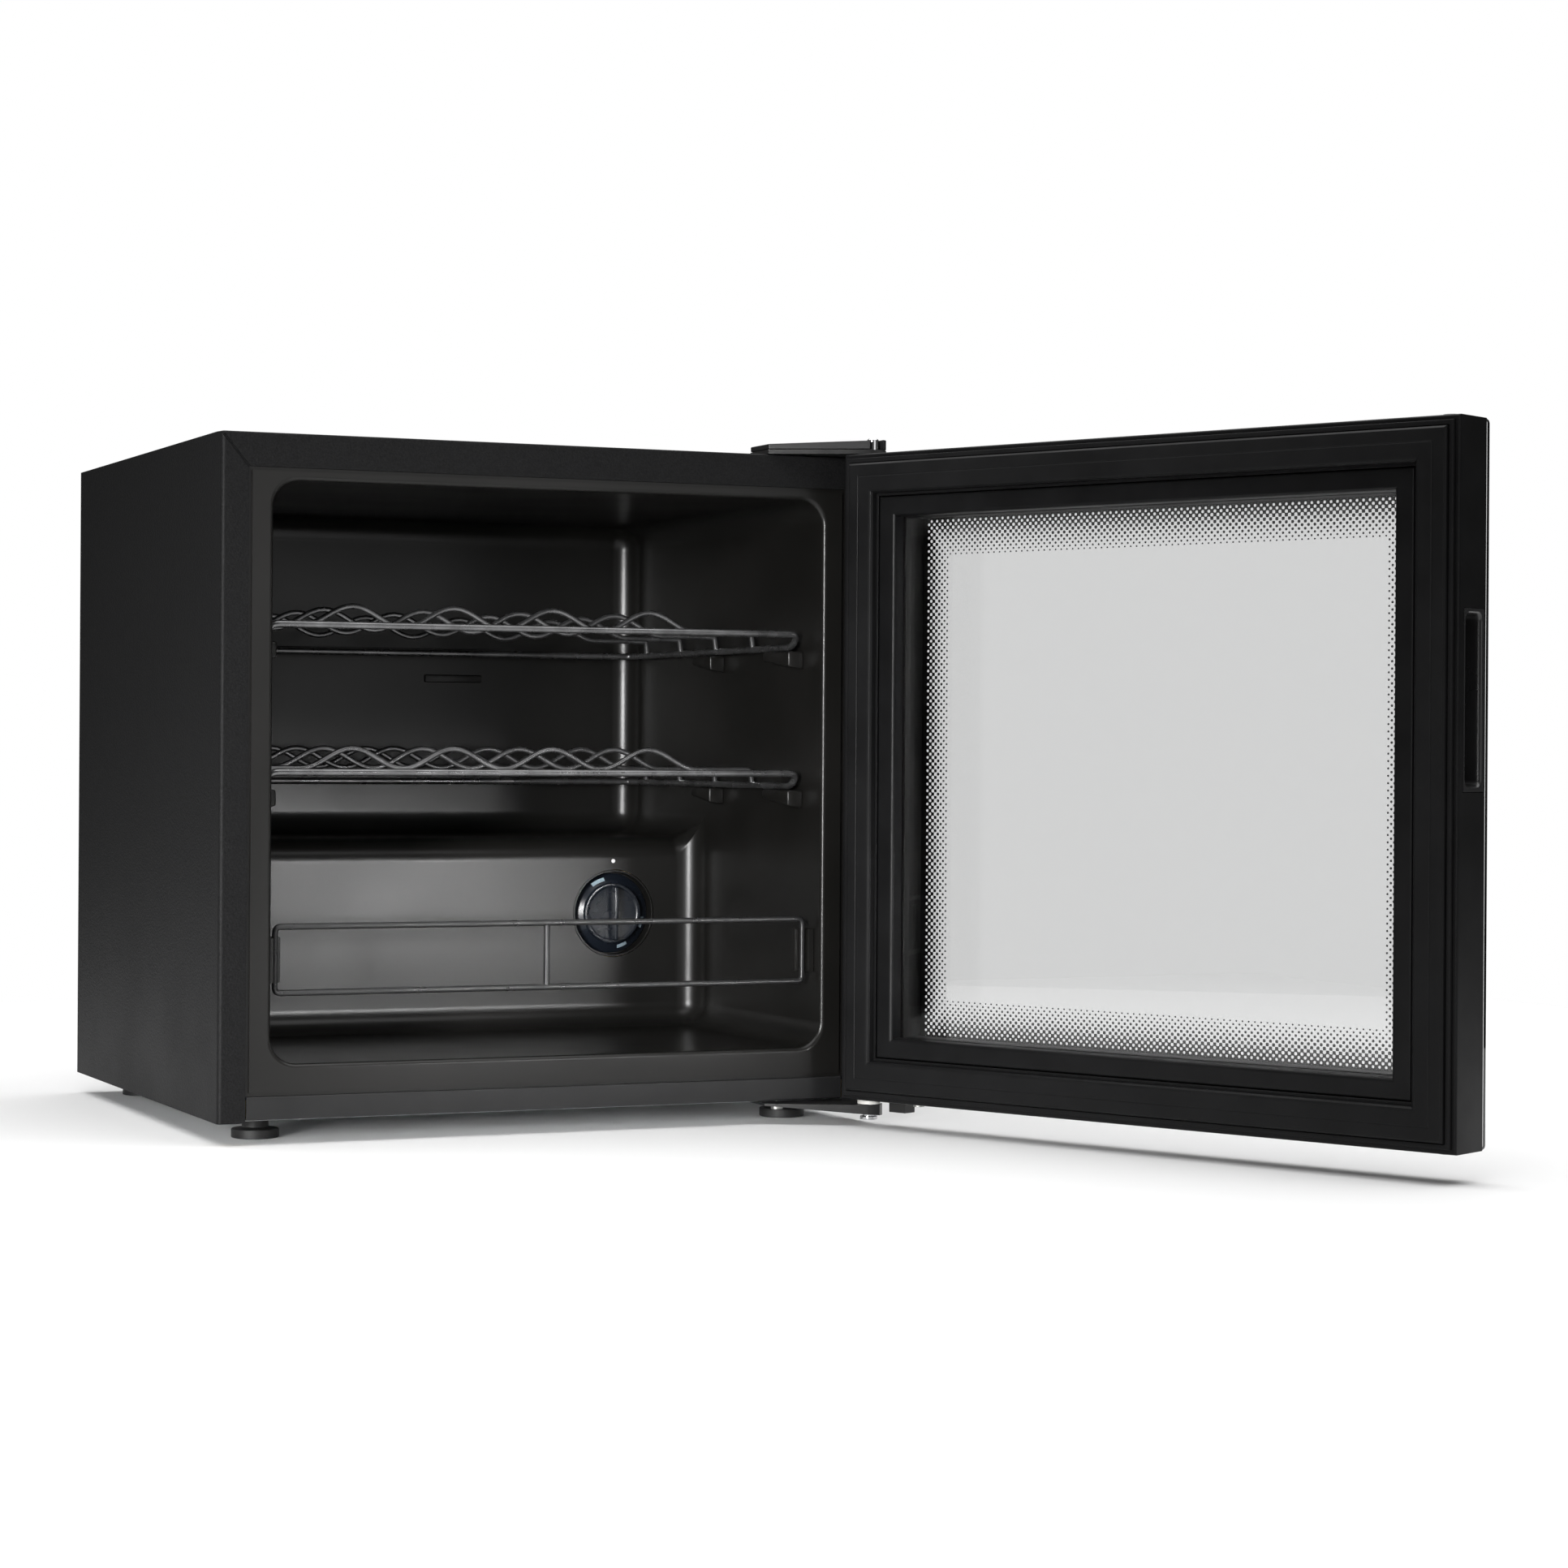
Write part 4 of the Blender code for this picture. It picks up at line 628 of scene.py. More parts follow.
flange_low, flange_high = at(FLANGE_MM[0], 0, FLANGE_MM[1]), at(FLANGE_MM[2], 0, FLANGE_MM[3])
FLANGE = (flange_low.x, flange_low.z, flange_high.x, flange_high.z)
edit(room)
centre_x, centre_z = at(0, 0, 0).x, at(0, 0, (FLOOR + CEILING) / 2).z
half_w, half_h = INNER_HALF_W * MM, (CEILING - FLOOR) / 2 * MM
choose(lambda edge: len(edge.link_faces) == 1, "EDGE")
before = (0.0, 0.0)
for step in range(1, LIP_STEPS + 1):
    angle = math.radians(90 * step / LIP_STEPS)
    now = (LIP * MM * (1 - math.cos(angle)), LIP * MM * math.sin(angle))
    draw_rim(y=before[1] - now[1])
    grow_x = (half_w + now[0]) / (half_w + before[0])
    grow_z = (half_h + now[0]) / (half_h + before[0])
    mouth_middle = (centre_x, mouth_level, centre_z)
    bpy.ops.transform.resize(value=(grow_x, 1, grow_z), center_override=mouth_middle)
    before = now
draw_rim()
mouth_half = (half_w + LIP * MM, half_h + LIP * MM)
stretch_to_corners(room, 0, (centre_x, centre_z), mouth_half, (CORNER_R + LIP) * MM, FLANGE)
draw_rim(y=FLANGE_DEEP * MM)
draw_rim()
flange_middle = (flange_low + flange_high) / 2
widen = [1 + 2 * SKIRT * MM / (FLANGE[side + 2] - FLANGE[side]) for side in (0, 1)]
bpy.ops.transform.resize(value=(widen[0], 1, widen[1]), center_override=tuple(flange_middle))
done()

# %% Give the sheet its thickness
LINER_WALL = 1.2


def thicken(obj, width):
    """Gives a sheet its thickness, on the side that its faces look away from."""
    wall = obj.modifiers.new("Wall", "SOLIDIFY")
    wall.thickness = width * MM
    wall.offset = -1
    bpy.ops.object.modifier_apply(modifier=wall.name)


thicken(room, LINER_WALL)
print("liner room:", len(room.data.polygons), "faces")

# %% [markdown]
# The thermostat sits in a round hole in the step, and the shelves rest on ledges moulded into
# the side walls. Two low ribs and a short raised bar run across the back wall. Each is a
# rounded block that reaches into the wall, so that it seems to grow out of it.

# %% A rounded block and a shelf ledge


def block(low, high, width=0.0):
    """A box between two places, with its edges rounded by a real amount."""
    size = [abs(b - a) for a, b in zip(low, high)]
    centre = [(a + b) / 2 for a, b in zip(low, high)]
    made = added(bpy.ops.mesh.primitive_cube_add, size=1, location=at(*centre))
    made.scale = [side * MM for side in size]
    fix_in_place()
    if width:
        edit(made)
        choose_all()
        bpy.ops.mesh.bevel(offset=width * MM, segments=3)
        done()
    return made


LEDGE_ROOT, LEDGE_TIP, LEDGE_DEEP = 200.4, 188, 13
LEDGE_RUN_OUT, LEDGE_TAPER, LEDGE_ROUND = 5, 2, 1.6


def ledge(x_side, front, back, top):
    """Flat on top, and sloping up underneath towards the back and the middle."""
    root, tip = x_side * LEDGE_ROOT, x_side * LEDGE_TIP
    made = block((min(root, tip), front, top - LEDGE_DEEP), (max(root, tip), back, top))
    edit(made)
    middle = at(0, (front + back) / 2, 0).y
    underside = at(0, 0, top - LEDGE_DEEP).z
    choose(lambda vert: near(vert.co.z, underside) and vert.co.y > middle, "VERT")
    bpy.ops.transform.translate(value=(0, 0, LEDGE_RUN_OUT * MM))
    below_top, tip_zone = at(0, 0, top - 1).z, (LEDGE_TIP + 2) * MM
    choose(lambda vert: vert.co.z < below_top and abs(vert.co.x - centre_x) < tip_zone, "VERT")
    bpy.ops.transform.translate(value=(0, 0, LEDGE_TAPER * MM))
    choose_all()
    bpy.ops.mesh.bevel(offset=LEDGE_ROUND * MM, segments=3)
    done()
    return made


# %% Open the hole for the dial, and add the ledges and ribs
DIAL = (131.8, 215, 122.7)
HOLE_R, HOLE_DEEP = 32.8, 14
LEDGE_RUNS, BAR_TO_LEDGE = ((31, 74), (166, 200)), 11.8
RIBS = (
    ((-111, 343.6, 317), (85, 346, 319), 0.5),
    ((-111, 343.6, 321), (85, 346, 323), 0.5),
    ((26, 343.4, 297), (73, 346, 303), 0.9),
)
SHELF_BARS = {"upper_shelf": 328, "lower_shelf": 229.5}
ledges = [
    ledge(side, front, back, bar - BAR_TO_LEDGE)
    for bar in SHELF_BARS.values()
    for side in (-1, 1)
    for front, back in LEDGE_RUNS
]
ribs = [block(*rib) for rib in RIBS]
plug = added(
    bpy.ops.mesh.primitive_cylinder_add,
    vertices=96,
    radius=HOLE_R * MM,
    depth=HOLE_DEEP * MM,
    location=at(*DIAL),
)
plug.rotation_euler = (math.pi / 2, 0, 0)
cut(room, plug)
print("ledges:", len(ledges), "ribs:", len(ribs))

# %% Shade the liner and join it into one piece


def joined(objects):
    """Joins pieces into the first of them."""
    bpy.ops.object.select_all(action="DESELECT")
    for obj in objects:
        obj.select_set(True)
    bpy.context.view_layer.objects.active = objects[0]
    bpy.ops.object.join()
    return bpy.context.object


pick(room)
shade_smooth(32)
even_normals(room)
for extra in ledges + ribs:
    pick(extra)
    shade_smooth(50)
room = joined([room, *ledges, *ribs])
settle(room, "liner", liner, "cabinet", ["inner_liner"])

# %% [markdown]
# ## Wire work
# Each shelf is a closed loop of bent wire with four cradle wires welded across it. The cradle
# wires rise and fall between the bottles. A wire is a curve with a round bevel: the bends
# stay even all the way round, which a chain of cylinders never does.

# %% Bend wires


def rounded(points, radius, steps=6, closed=False):
    """The path with every corner turned into a short bend."""
    path = []
    for index, corner in enumerate(points):
        if not closed and index in (0, len(points) - 1):
            path.append(Vector(corner))
            continue
        corner = Vector(corner)
        before, after = Vector(points[index - 1]), Vector(points[(index + 1) % len(points)])
        reach_a = min(radius, (before - corner).length / 2)
        reach_b = min(radius, (after - corner).length / 2)
        start = corner + (before - corner).normalized() * reach_a
        end = corner + (after - corner).normalized() * reach_b
        for step in range(steps + 1):
            share = step / steps
            path.append(start.lerp(corner, share).lerp(corner.lerp(end, share), share))
    return path


def bent_wire(name, points, radius, closed=False, sides=4):
    """A round wire through places measured from the cabinet, as a mesh."""
    curve = bpy.data.curves.new(name, "CURVE")
    curve.dimensions = "3D"
    curve.bevel_depth = radius * MM
    curve.bevel_resolution = sides
    curve.use_fill_caps = not closed
    spline = curve.splines.new("POLY")
    spline.points.add(len(points) - 1)
    for point, place in zip(spline.points, points):
        point.co = (*at(*place), 1)
    spline.use_cyclic_u = closed
    made = bpy.data.objects.new(name, curve)
    bpy.context.collection.objects.link(made)
    pick(made)
    bpy.ops.object.convert(target="MESH")
    made = bpy.context.object
    edit(made)
    choose_all()
    bpy.ops.mesh.remove_doubles(threshold=0.00001)
    turn_faces()
    shade_smooth(50)
    return made


# %% The two shelves
SHELF_HALF_W, SHELF_FRONT, SHELF_BACK, SHELF_DROP = 194, 28, 330, 9
WAVE_ROWS = (103, 168, 233, 298)
PITCH, CRADLES, RISE, WAVE_STEPS = 74.6, 4, 14, 16
LOOP_WIRE_R, CRADLE_WIRE_R, LOOP_BEND = 2.5, 2, 7


def cradle_wire(y, bar):
    """From the side rail up to the level of the front bar, over the crests, and down again."""
    base, rail, reach = bar + CRADLE_WIRE_R, bar - SHELF_DROP, PITCH * CRADLES / 2
    side = -SHELF_HALF_W
    ends = [(side, y, rail), (side + 1.5, y, base - 1), (side + 4, y, base)]
    wave = []
    steps = WAVE_STEPS * CRADLES
    for step in range(steps + 1):
        x = -reach + 2 * reach * step / steps
        wave.append((x, y, base + RISE * (1 - math.cos(math.tau * (x + reach) / PITCH)) / 2))
    return ends + wave + [(-x, y, z) for x, y, z in reversed(ends)]


for node, bar in SHELF_BARS.items():
    rail = bar - SHELF_DROP
    corners = [
        (-SHELF_HALF_W, SHELF_BACK, rail),
        (-SHELF_HALF_W, SHELF_FRONT + SHELF_DROP, rail),
        (-SHELF_HALF_W, SHELF_FRONT, bar),
        (SHELF_HALF_W, SHELF_FRONT, bar),
        (SHELF_HALF_W, SHELF_FRONT + SHELF_DROP, rail),
        (SHELF_HALF_W, SHELF_BACK, rail),
    ]
    path = rounded(corners, LOOP_BEND, closed=True)
    loop = bent_wire(node + "_loop", path, LOOP_WIRE_R, closed=True)
    rows = [bent_wire(f"{node}_{y}", cradle_wire(y, bar), CRADLE_WIRE_R) for y in WAVE_ROWS]
    shelf = joined([loop, *rows])
    settle(shelf, node + "_wires", shelf_chrome, node + "_body", [node])

# %% [markdown]
# The guard rail keeps the lowest bottles in. It is one closed loop with a post in its middle,
# and it is held by a clip in each side wall.

# %% The guard rail
RAIL_Y, RAIL_HALF_W, RAIL_LOW, RAIL_HIGH = 16, 193, 83.5, 127.3
RAIL_WIRE_R, RAIL_BEND, POST_BACK = 2, 4, 0.6
corners = [
    (-RAIL_HALF_W, RAIL_Y, RAIL_LOW),
    (-RAIL_HALF_W, RAIL_Y, RAIL_HIGH),
    (RAIL_HALF_W, RAIL_Y, RAIL_HIGH),
    (RAIL_HALF_W, RAIL_Y, RAIL_LOW),
]
path = rounded(corners, RAIL_BEND, closed=True)
loop = bent_wire("rail_loop", path, RAIL_WIRE_R, closed=True)
post_ends = [(0, RAIL_Y + POST_BACK, level) for level in (RAIL_LOW, RAIL_HIGH)]
post = bent_wire("rail_post", post_ends, RAIL_WIRE_R)
guard = joined([loop, post])
settle(guard, "guard_rail_wires", coated_wire, "cabinet", ["bottle_guard_rail"])

# %% [markdown]
# ## Round parts that keep their shape
# Tubes, the compressor's drum and the thermostat's bezel are built of narrow facets. For these
# an edge counts as sharp only above a wider angle, so the facets are shaded as one round face.

# %% The tubes, the compressor and the thermostat's bezel
ROUND_ANGLE = 40
for node, material, slot in (
    ("condenser_coil", black_steel, "black_steel"),
    ("discharge_tube", copper, "copper"),
    ("suction_tube", copper, "copper"),
    ("filter_drier", copper, "copper"),
    ("compressor", black_steel, "black_steel"),
    ("thermostat_bezel", liner, "liner_plastic"),
):
    polished(node, material, 0.2, angle=ROUND_ANGLE)

# %% [markdown]
# ## Door mouldings
# The frame of a glass door is cut from long extrusions and mitred at its corners. Insetting one
# flat face again and again gives the same thing: each inset runs parallel to the last, so the
# corners mitre by themselves, and each step may rise or fall to follow the extrusion's profile.

# %% A mitred ring from a profile


def mitred_ring(profile):
    """A closed ring. profile lists (distance from the door's edge, height above its inner face)."""
    margin, height = profile[0]
    half_x = (DOOR_W / 2 - margin) * MM
    half_z = ((DOOR_HIGH - DOOR_LOW) / 2 - margin) * MM
    middle = at(0, DOOR_FACE + height, (DOOR_LOW + DOOR_HIGH) / 2)
    upright = (-math.pi / 2, 0, 0)
    ring = added(bpy.ops.mesh.primitive_plane_add, size=2, location=middle, rotation=upright)
    ring.scale = (half_x, half_z, 1)
    fix_in_place()
    edit(ring)
    bpy.ops.mesh.select_mode(type="FACE")
    choose_all()
    for next_margin, next_height in profile[1:]:
        rise = (next_height - height) * MM
        inwards = (next_margin - margin) * MM
        if next_margin - margin < 0.001:
            draw_faces(y=rise)
        else:
            bpy.ops.mesh.inset(thickness=inwards, depth=rise, use_even_offset=True)
        margin, height = next_margin, next_height
    bpy.ops.mesh.delete(type="FACE")
    choose(lambda edge: edge.is_boundary, "EDGE")
    bpy.ops.mesh.bridge_edge_loops()
    turn_faces()
    return ring


def hang(piece, name, material, nodes):
    """Swings a piece modelled on the shut door to where the door stands, and settles it."""
    piece.data.transform(DOOR_OPEN)
    return settle(piece, name, material, "door", nodes)


# %% The gasket
OUTER_LIP = [(3.0, 0.3), (3.3, 2.2), (4.6, 2.5), (6.2, 2.4), (6.6, 1.5)]
CUSHION = [(7.0, 3.9), (8.2, 5.1), (11.0, 5.3), (15.5, 5.3), (16.0, 5.0), (16.6, 5.3)]
INNER_SLOPE = [(24.5, 5.3), (26.6, 4.9), (27.8, 3.6), (28.3, 0.3)]
GASKET = OUTER_LIP + CUSHION + INNER_SLOPE
gasket = mitred_ring(GASKET)
soften(gasket, 0.25 * MM, 2, 20)
even_normals(gasket)
hang(gasket, "gasket", seal, ["door_gasket"])

# %% [markdown]
# The frame round the window is a flat moulding with a rolled edge on the side of the glass. The
# same helper makes it, from a profile that starts behind the frame's face.

# %% The inner frame round the window
OUTER_EDGE = [(30.3, -9.8), (30.4, -1.6), (30.9, -0.5), (32.0, 0.0)]
ROLLED_EDGE = [(41.0, 0.0), (42.5, -0.3), (43.6, -1.1), (44.2, -2.5), (44.4, -9.8)]
INNER_FRAME = OUTER_EDGE + ROLLED_EDGE
inner_frame = mitred_ring(INNER_FRAME)
soften(inner_frame, 0.3 * MM, 3, 25)
even_normals(inner_frame)
hang(inner_frame, "window_frame", door_moulding, ["inner_frame"])

# %% [markdown]
# The finger grip is a cup let into the free edge of the door. Its outline has round corners and
# its rim is softly rounded, so it draws a bright line round the dark hollow. It starts as a flat
# plate with bevelled corners. The hollow is inset and pushed in, and the rim is stretched out to
# fill the square pocket in the frame.

# %% The cup of the finger grip
GRIP_FRONT, GRIP_BACK, GRIP_LOW, GRIP_HIGH, GRIP_REACH = 6, 32, 223, 335, 15.5
CUP_MARGIN, CUP_CORNER_R = 0.9, 7
# Each inset: its width, and how far it goes in.
RIM_INSETS = ((0.6, 0.0), (0.7, -0.15), (0.8, -0.6), (0.6, -1.2), (0.3, -2.6))
HOLLOW_INSETS = ((0.8, -GRIP_REACH + 6), (1.5, -1.2))
edge_x = -DOOR_W / 2
grip_y = DOOR_FACE - (GRIP_FRONT + GRIP_BACK) / 2
grip_middle = at(edge_x, grip_y, (GRIP_LOW + GRIP_HIGH) / 2)
sideways = (0, -math.pi / 2, 0)
cup = added(bpy.ops.mesh.primitive_plane_add, size=2, location=grip_middle, rotation=sideways)
cup_half = (
    (GRIP_BACK - GRIP_FRONT) / 2 - CUP_MARGIN,
    (GRIP_HIGH - GRIP_LOW) / 2 - CUP_MARGIN,
)
cup.scale = (cup_half[1] * MM, cup_half[0] * MM, 1)
fix_in_place()
edit(cup)
choose_all()
bpy.ops.mesh.bevel(offset=CUP_CORNER_R * MM, segments=8, affect="VERTICES")
bpy.ops.mesh.select_mode(type="FACE")
choose_all()
for width, depth in RIM_INSETS + HOLLOW_INSETS:
    bpy.ops.mesh.inset(thickness=width * MM, depth=depth * MM)

# %% Fit the cup to its square pocket
POCKET_GAP, RIM_DEEP, CUP_WALL = 0.3, 6, 0.5
choose(lambda edge: edge.is_boundary, "EDGE")
draw_rim()
pocket_low = at(edge_x, DOOR_FACE - GRIP_BACK + POCKET_GAP, GRIP_LOW + POCKET_GAP)
pocket_high = at(edge_x, DOOR_FACE - GRIP_FRONT - POCKET_GAP, GRIP_HIGH - POCKET_GAP)
pocket = (pocket_low.y, pocket_low.z, pocket_high.y, pocket_high.z)
outline_half = (cup_half[0] * MM, cup_half[1] * MM)
outline_middle = (grip_middle.y, grip_middle.z)
stretch_to_corners(cup, 1, outline_middle, outline_half, CUP_CORNER_R * MM, pocket)
draw_rim(x=RIM_DEEP * MM)
turn_faces()
thicken(cup, CUP_WALL)
shade_smooth(ROUND_ANGLE)
hang(cup, "finger_grip", grip_plastic, ["handle_cup"])

# %% [markdown]
# A spacer keeps the two panes apart and seals the room between them. It is one more ring.

# %% The spacer between the panes
SPACER = [(37.0, -33.6), (37.1, -14.6), (44.4, -14.6), (44.5, -33.6)]
spacer = mitred_ring(SPACER)
soften(spacer, 0.2 * MM, 2, 25)
hang(spacer, "pane_spacer", matte_plastic, ["glass_spacer"])

# %% [markdown]
# ## The printed border
# The outer pane is printed black round its edge, and the print fades into the clear glass
# through rows of dots. A print is far too thin to model dot by dot, so it is one thin film
# behind the pane. Two cosine waves, one along the door and one up it, make a lattice, and the
# film shows wherever the lattice stands higher than a limit that grows towards the middle.

# %% The film
FILM_OUTER, FILM_INNER, FILM_BACK, FILM_FRONT = 2.0, 72, -33.95, -33.85
film = mitred_ring([(FILM_OUTER, FILM_BACK), (FILM_INNER, FILM_BACK), (FILM_INNER, FILM_FRONT)])
print("film:", len(film.data.polygons), "faces")

# %% The lattice of the dots
DOT_PITCH = 4.6 * MM


def math_node(nodes, operation, *inputs):
    """One step of arithmetic. An input is a number or another node's output."""
    node = nodes.new("ShaderNodeMath")
    node.operation = operation
    for socket, value in zip(node.inputs, inputs):
        if isinstance(value, (int, float)):
            socket.default_value = value
        else:
            nodes.id_data.links.new(value, socket)
    return node.outputs[0]


ink = finish("printed_black_border", (0.004, 0.004, 0.0042), 0.3, specular=0.4)
ink_nodes, ink_links = ink.node_tree.nodes, ink.node_tree.links
place = ink_nodes.new("ShaderNodeTexCoord")
to_door = ink_nodes.new("ShaderNodeMapping")
to_door.vector_type = "TEXTURE"
to_door.inputs["Location"].default_value = DOOR_OPEN @ at(0, 0, (DOOR_LOW + DOOR_HIGH) / 2)
to_door.inputs["Rotation"].default_value = (0, 0, DOOR_ANGLE)
ink_links.new(place.outputs["Object"], to_door.inputs["Vector"])
axes = ink_nodes.new("ShaderNodeSeparateXYZ")
ink_links.new(to_door.outputs["Vector"], axes.inputs["Vector"])
waves = []
for axis in ("X", "Z"):
    turns = math_node(ink_nodes, "MULTIPLY", axes.outputs[axis], math.tau / DOT_PITCH)
    waves.append(math_node(ink_nodes, "COSINE", turns))
lattice = math_node(ink_nodes, "MULTIPLY", *waves)

# %% [markdown]
# The limit follows the distance from the door's edge. Up to one distance the print is solid,
# and past another the glass is clear. In between the dots shrink. The sides and the ends of the
# door have their own distances, and whichever is nearer decides.

# %% The fade, and the dots it leaves
SOLID_SIDE, SOLID_END = 48, 45
CLEAR_SIDE, CLEAR_END = 67, 70
LIMIT_SLOPE, LIMIT_START = 1.1, 0.4


def fade(distance, half, solid, clear):
    """0 where the print is solid and 1 where the glass is clear, by distance from the middle."""
    away = math_node(ink_nodes, "ABSOLUTE", distance)
    start, end = (half - solid) * MM, (half - clear) * MM
    past = math_node(ink_nodes, "SUBTRACT", start, away)
    return math_node(ink_nodes, "DIVIDE", past, start - end)


fade_x = fade(axes.outputs["X"], DOOR_W / 2, SOLID_SIDE, CLEAR_SIDE)
fade_z = fade(axes.outputs["Z"], (DOOR_HIGH - DOOR_LOW) / 2, SOLID_END, CLEAR_END)
nearest = math_node(ink_nodes, "MINIMUM", fade_x, fade_z)
slope = math_node(ink_nodes, "MULTIPLY", nearest, LIMIT_SLOPE)
limit = math_node(ink_nodes, "SUBTRACT", slope, LIMIT_START)
dots = math_node(ink_nodes, "GREATER_THAN", lattice, limit)
dots = math_node(ink_nodes, "MULTIPLY", dots, math_node(ink_nodes, "LESS_THAN", nearest, 1.0))
shown = math_node(ink_nodes, "MAXIMUM", dots, math_node(ink_nodes, "LESS_THAN", nearest, 0.0))
ink_links.new(shown, ink_nodes["Principled BSDF"].inputs["Alpha"])
hang(film, "printed_border", ink, ())

# %% [markdown]
# ## The dial
# The thermostat's dial is a shallow cap with a skirt. A cylinder is inset and drawn forward to
# make the cap, and a rounded bar across it is what the fingers turn. The marks on the skirt are
# a thin layer of white print.

# %% Cap and skirt
SKIRT_R, CAP_R, SKIRT_EDGE, SKIRT_RISE, CAP_RISE = 30, 22.4, 1.4, 3.4, 3.0
CAP_BORDER, DISH_SLOPE, DISH_DEEP = 2.2, 0.8, 0.7
dial_floor = DIAL[1] + 8.9


def skirt_y(radius):
    """How far in the sloping skirt's surface lies at a radius."""
    return dial_floor - SKIRT_EDGE - SKIRT_RISE * (SKIRT_R - radius) / (SKIRT_R - CAP_R)


dial = added(
    bpy.ops.mesh.primitive_cylinder_add,
    vertices=96,
    radius=SKIRT_R * MM,
    depth=SKIRT_EDGE * MM,
    location=at(DIAL[0], dial_floor - SKIRT_EDGE / 2, DIAL[2]),
    rotation=(math.pi / 2, 0, 0),
)
fix_in_place()
edit(dial)
choose(lambda face: face.normal.y < -0.9)
bpy.ops.mesh.inset(thickness=(SKIRT_R - CAP_R) * MM, depth=SKIRT_RISE * MM)
draw_faces(y=-CAP_RISE * MM)
bpy.ops.mesh.inset(thickness=CAP_BORDER * MM)
bpy.ops.mesh.inset(thickness=DISH_SLOPE * MM, depth=-DISH_DEEP * MM)
done()
soften(dial, 0.5 * MM, 3)

# %% The grip bar across the dial
BAR_HALF_W, BAR_HALF_H, BAR_FRONT, BAR_BACK = 2.4, 20.6, 208.2, 217
bar = block(
    (DIAL[0] - BAR_HALF_W, BAR_FRONT, DIAL[2] - BAR_HALF_H),
    (DIAL[0] + BAR_HALF_W, BAR_BACK, DIAL[2] + BAR_HALF_H),
)
edit(bar)
choose(lambda face: face.normal.y < -0.9)
bpy.ops.transform.resize(value=(0.6, 1, 0.96), center_override=tuple(at(*DIAL)))
done()
soften(bar, 0.8 * MM, 3)
knob_plastic = finish("dial_blue_black", (0.006, 0.008, 0.012), 0.26, specular=0.45)
grain(knob_plastic, 1500, 2, 0.12, 0.0002)
patches(knob_plastic, 60, 3, "Roughness", 0.22, 0.3)
settle(joined([dial, bar]), "dial_cap", knob_plastic, "dial", ["thermostat_dial"])

# %% [markdown]
# Three arcs of grey print mark the skirt, and a white dot above the dial is what they point at.
# An arc is spun from a short line that lies on the sloping skirt, and then given the
# thickness of paint.

# %% Marks on the skirt
MARK_INNER, MARK_OUTER, PRINT_LIFT, PRINT_THICK = 24.6, 27.2, 0.08, 0.05
MARK_ARCS = ((-12, 12), (115, 133), (168, 186))
mark_paint = finish("grey_mark_print", (0.2, 0.26, 0.3), 0.5)
patches(mark_paint, 800, 3, "Base Color", (0.16, 0.21, 0.25), (0.26, 0.33, 0.37))


def dial_mark(start, end):
    """A thin arc on the skirt. The angles run clockwise from the top."""
    mark = added(bpy.ops.mesh.primitive_plane_add, size=1, location=at(*DIAL))
    edit(mark)
    choose_all()
    bpy.ops.mesh.delete(type="VERT")
    mesh = bmesh.from_edit_mesh(mark.data)
    turn = math.radians(start)
    ends = []
    for radius in (MARK_INNER, MARK_OUTER):
        level = (skirt_y(radius) - PRINT_LIFT - DIAL[1]) * MM
        spot = (radius * MM * math.sin(turn), level, radius * MM * math.cos(turn))
        ends.append(mesh.verts.new(spot))
    mesh.edges.new(ends)
    bmesh.update_edit_mesh(mark.data)
    choose_all()
    bpy.ops.mesh.spin(
        steps=max(4, int(abs(end - start) / 4)),
        angle=math.radians(end - start),
        center=at(*DIAL),
        axis=(0, 1, 0),
    )
    choose_all()
    bpy.ops.mesh.remove_doubles(threshold=0.000001)
    turn_faces()
    thicken(mark, PRINT_THICK)
    return mark


marks = [dial_mark(start, end) for start, end in MARK_ARCS]
settle(joined(marks), "dial_marks", mark_paint, "dial", ())

# %% The index dot above the dial
INDEX_DOT, DOT_R, DOT_THICK = (131.4, 214.9, 162), 1.5, 0.3
dot_paint = finish("white_dot_print", (0.7, 0.7, 0.7), 0.5)
patches(dot_paint, 800, 3, "Base Color", (0.6, 0.6, 0.6), (0.8, 0.8, 0.8))
dot = added(
    bpy.ops.mesh.primitive_cylinder_add,
    vertices=32,
    radius=DOT_R * MM,
    depth=DOT_THICK * MM,
    location=at(*INDEX_DOT),
    rotation=(math.pi / 2, 0, 0),
)
soften(dot, 0.08 * MM)
settle(dot, "index_dot", dot_paint, "cabinet", ())

# %% [markdown]
# ## Floor, light and camera
# Black parts show only what they reflect. A studio keeps its walls dim for such a subject and
# lets a few broad softboxes draw the edges, while the sheet behind and below stays white. So the
# sky here is white where it is looked at, and dim where it is only reflected.

# %% The floor
FLOOR_SIZE = 2.6
floor = added(bpy.ops.mesh.primitive_plane_add, size=FLOOR_SIZE, location=(0, 0, 0))
floor.name = "studio_floor"
paper = finish("pale_paper", (0.9, 0.9, 0.9), 0.9, specular=0.1)
grain(paper, 300, 2, 0.02, 0.0005)
floor.data.materials.append(paper)

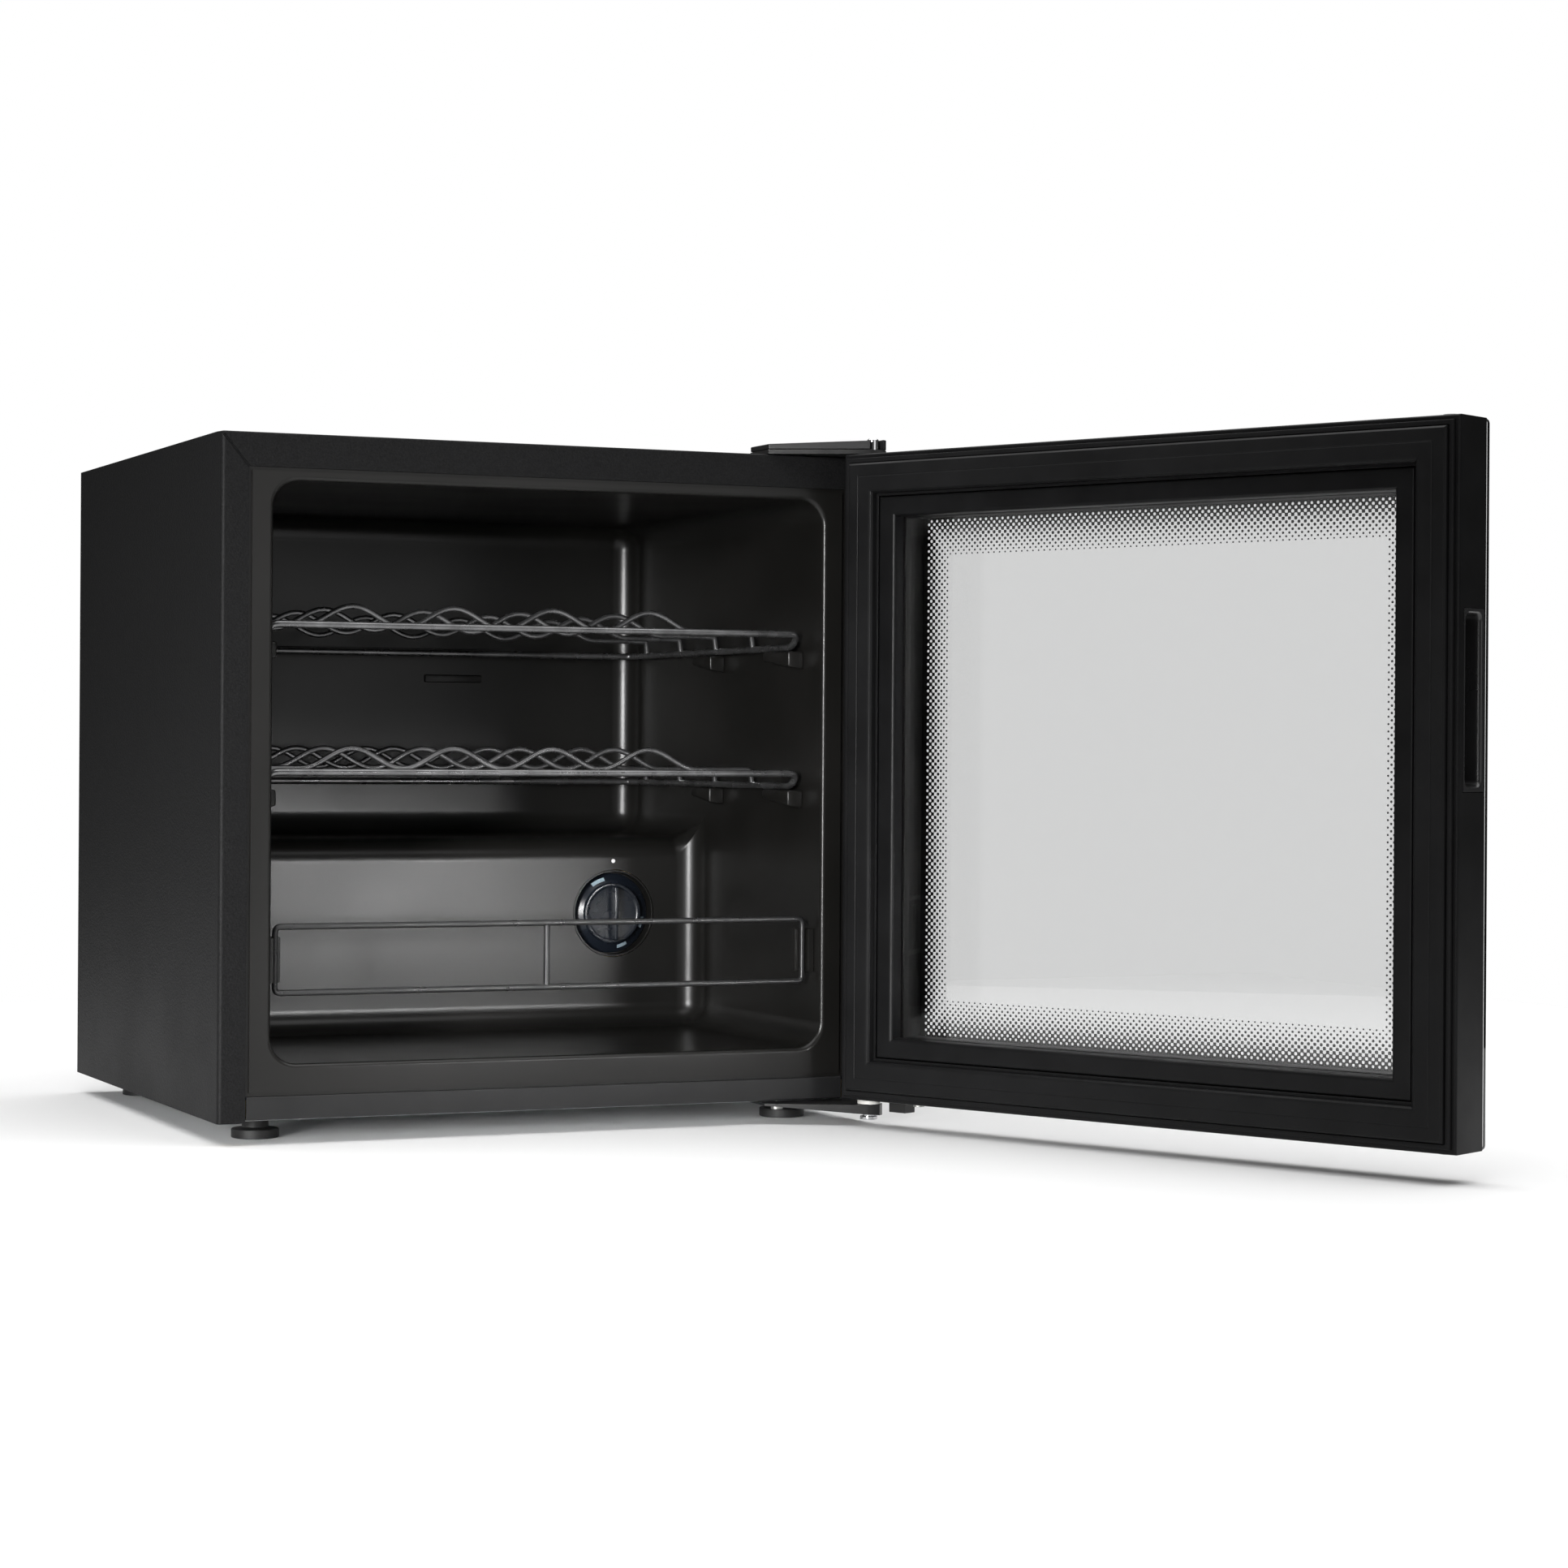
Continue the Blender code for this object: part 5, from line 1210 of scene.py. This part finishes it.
# %% The sky
REFLECTED_SKY, SEEN_SKY = 0.07, 1.0
world = bpy.data.worlds.new("studio")
bpy.context.scene.world = world
world.use_nodes = True
sky_nodes, sky_links = world.node_tree.nodes, world.node_tree.links
sky = sky_nodes["Background"]
sky.inputs["Color"].default_value = (1, 1, 1, 1)
path = sky_nodes.new("ShaderNodeLightPath").outputs
looked_at = math_node(sky_nodes, "MAXIMUM", path["Is Camera Ray"], path["Is Transmission Ray"])
brightness = sky_nodes.new("ShaderNodeMapRange")
brightness.inputs["To Min"].default_value = REFLECTED_SKY
brightness.inputs["To Max"].default_value = SEEN_SKY
sky_links.new(looked_at, brightness.inputs["Value"])
sky_links.new(brightness.outputs["Result"], sky.inputs["Strength"])

# %% [markdown]
# A large softbox above lights the floor and the top. Two in front draw soft edges on the
# frame of the door and on the walls of the liner, and a narrow one grazes the step inside.

# %% Soft lights


def softbox(name, place, target, size, power, spread=180):
    """A rectangular lamp that faces a target. The spread is its opening angle in degrees."""
    light = bpy.data.lights.new(name, "AREA")
    light.shape = "RECTANGLE"
    light.size, light.size_y = size
    light.energy = power
    light.spread = math.radians(spread)
    lamp = bpy.data.objects.new(name, light)
    bpy.context.collection.objects.link(lamp)
    lamp.location = place
    lamp.rotation_euler = (Vector(target) - Vector(place)).to_track_quat("-Z", "Y").to_euler()
    return lamp


softbox("above", (0, 0, 3.0), (0, 0, 0), (5.5, 5.5), 235)
softbox("front_right", (0.75, -2.7, 0.55), at(60, 215, 110), (1.5, 0.9), 5)
softbox("towards_the_step", at(350, -985, 200), at(-20, 215, 95), (0.32, 0.1), 0.085, 13)
softbox("front_left", (-1.75, -1.6, 0.42), at(185, 215, 110), (0.3, 0.8), 3.4, 30)

# %% [markdown]
# The camera stands low and to the left, turned a little to the right and level. It sees the
# side of the cabinet, the room inside it and the back of the door at once.

# %% The camera
EYE = at(-846.0, -2130.4, 246.0)
YAW, ROLL = math.radians(23.074), math.radians(0.361)
FILM_WIDTH, FOCAL_LENGTH, SHIFT_X, SHIFT_Y = 36, 77.62, 0.0915, -0.0221
lens = bpy.data.cameras.new("camera")
lens.sensor_width = FILM_WIDTH
lens.lens = FOCAL_LENGTH
lens.shift_x, lens.shift_y = SHIFT_X, SHIFT_Y
camera = bpy.data.objects.new("camera", lens)
bpy.context.collection.objects.link(camera)
camera.location = EYE
level = Matrix.Rotation(-YAW, 4, "Z") @ Matrix.Rotation(math.pi / 2, 4, "X")
camera.rotation_euler = (level @ Matrix.Rotation(ROLL, 4, "Z")).to_euler()
bpy.context.scene.camera = camera
bpy.context.scene.view_settings.view_transform = "Standard"

# %% [markdown]
# Last, the scene is brought up to date.

# %% Update the scene
bpy.context.view_layer.update()
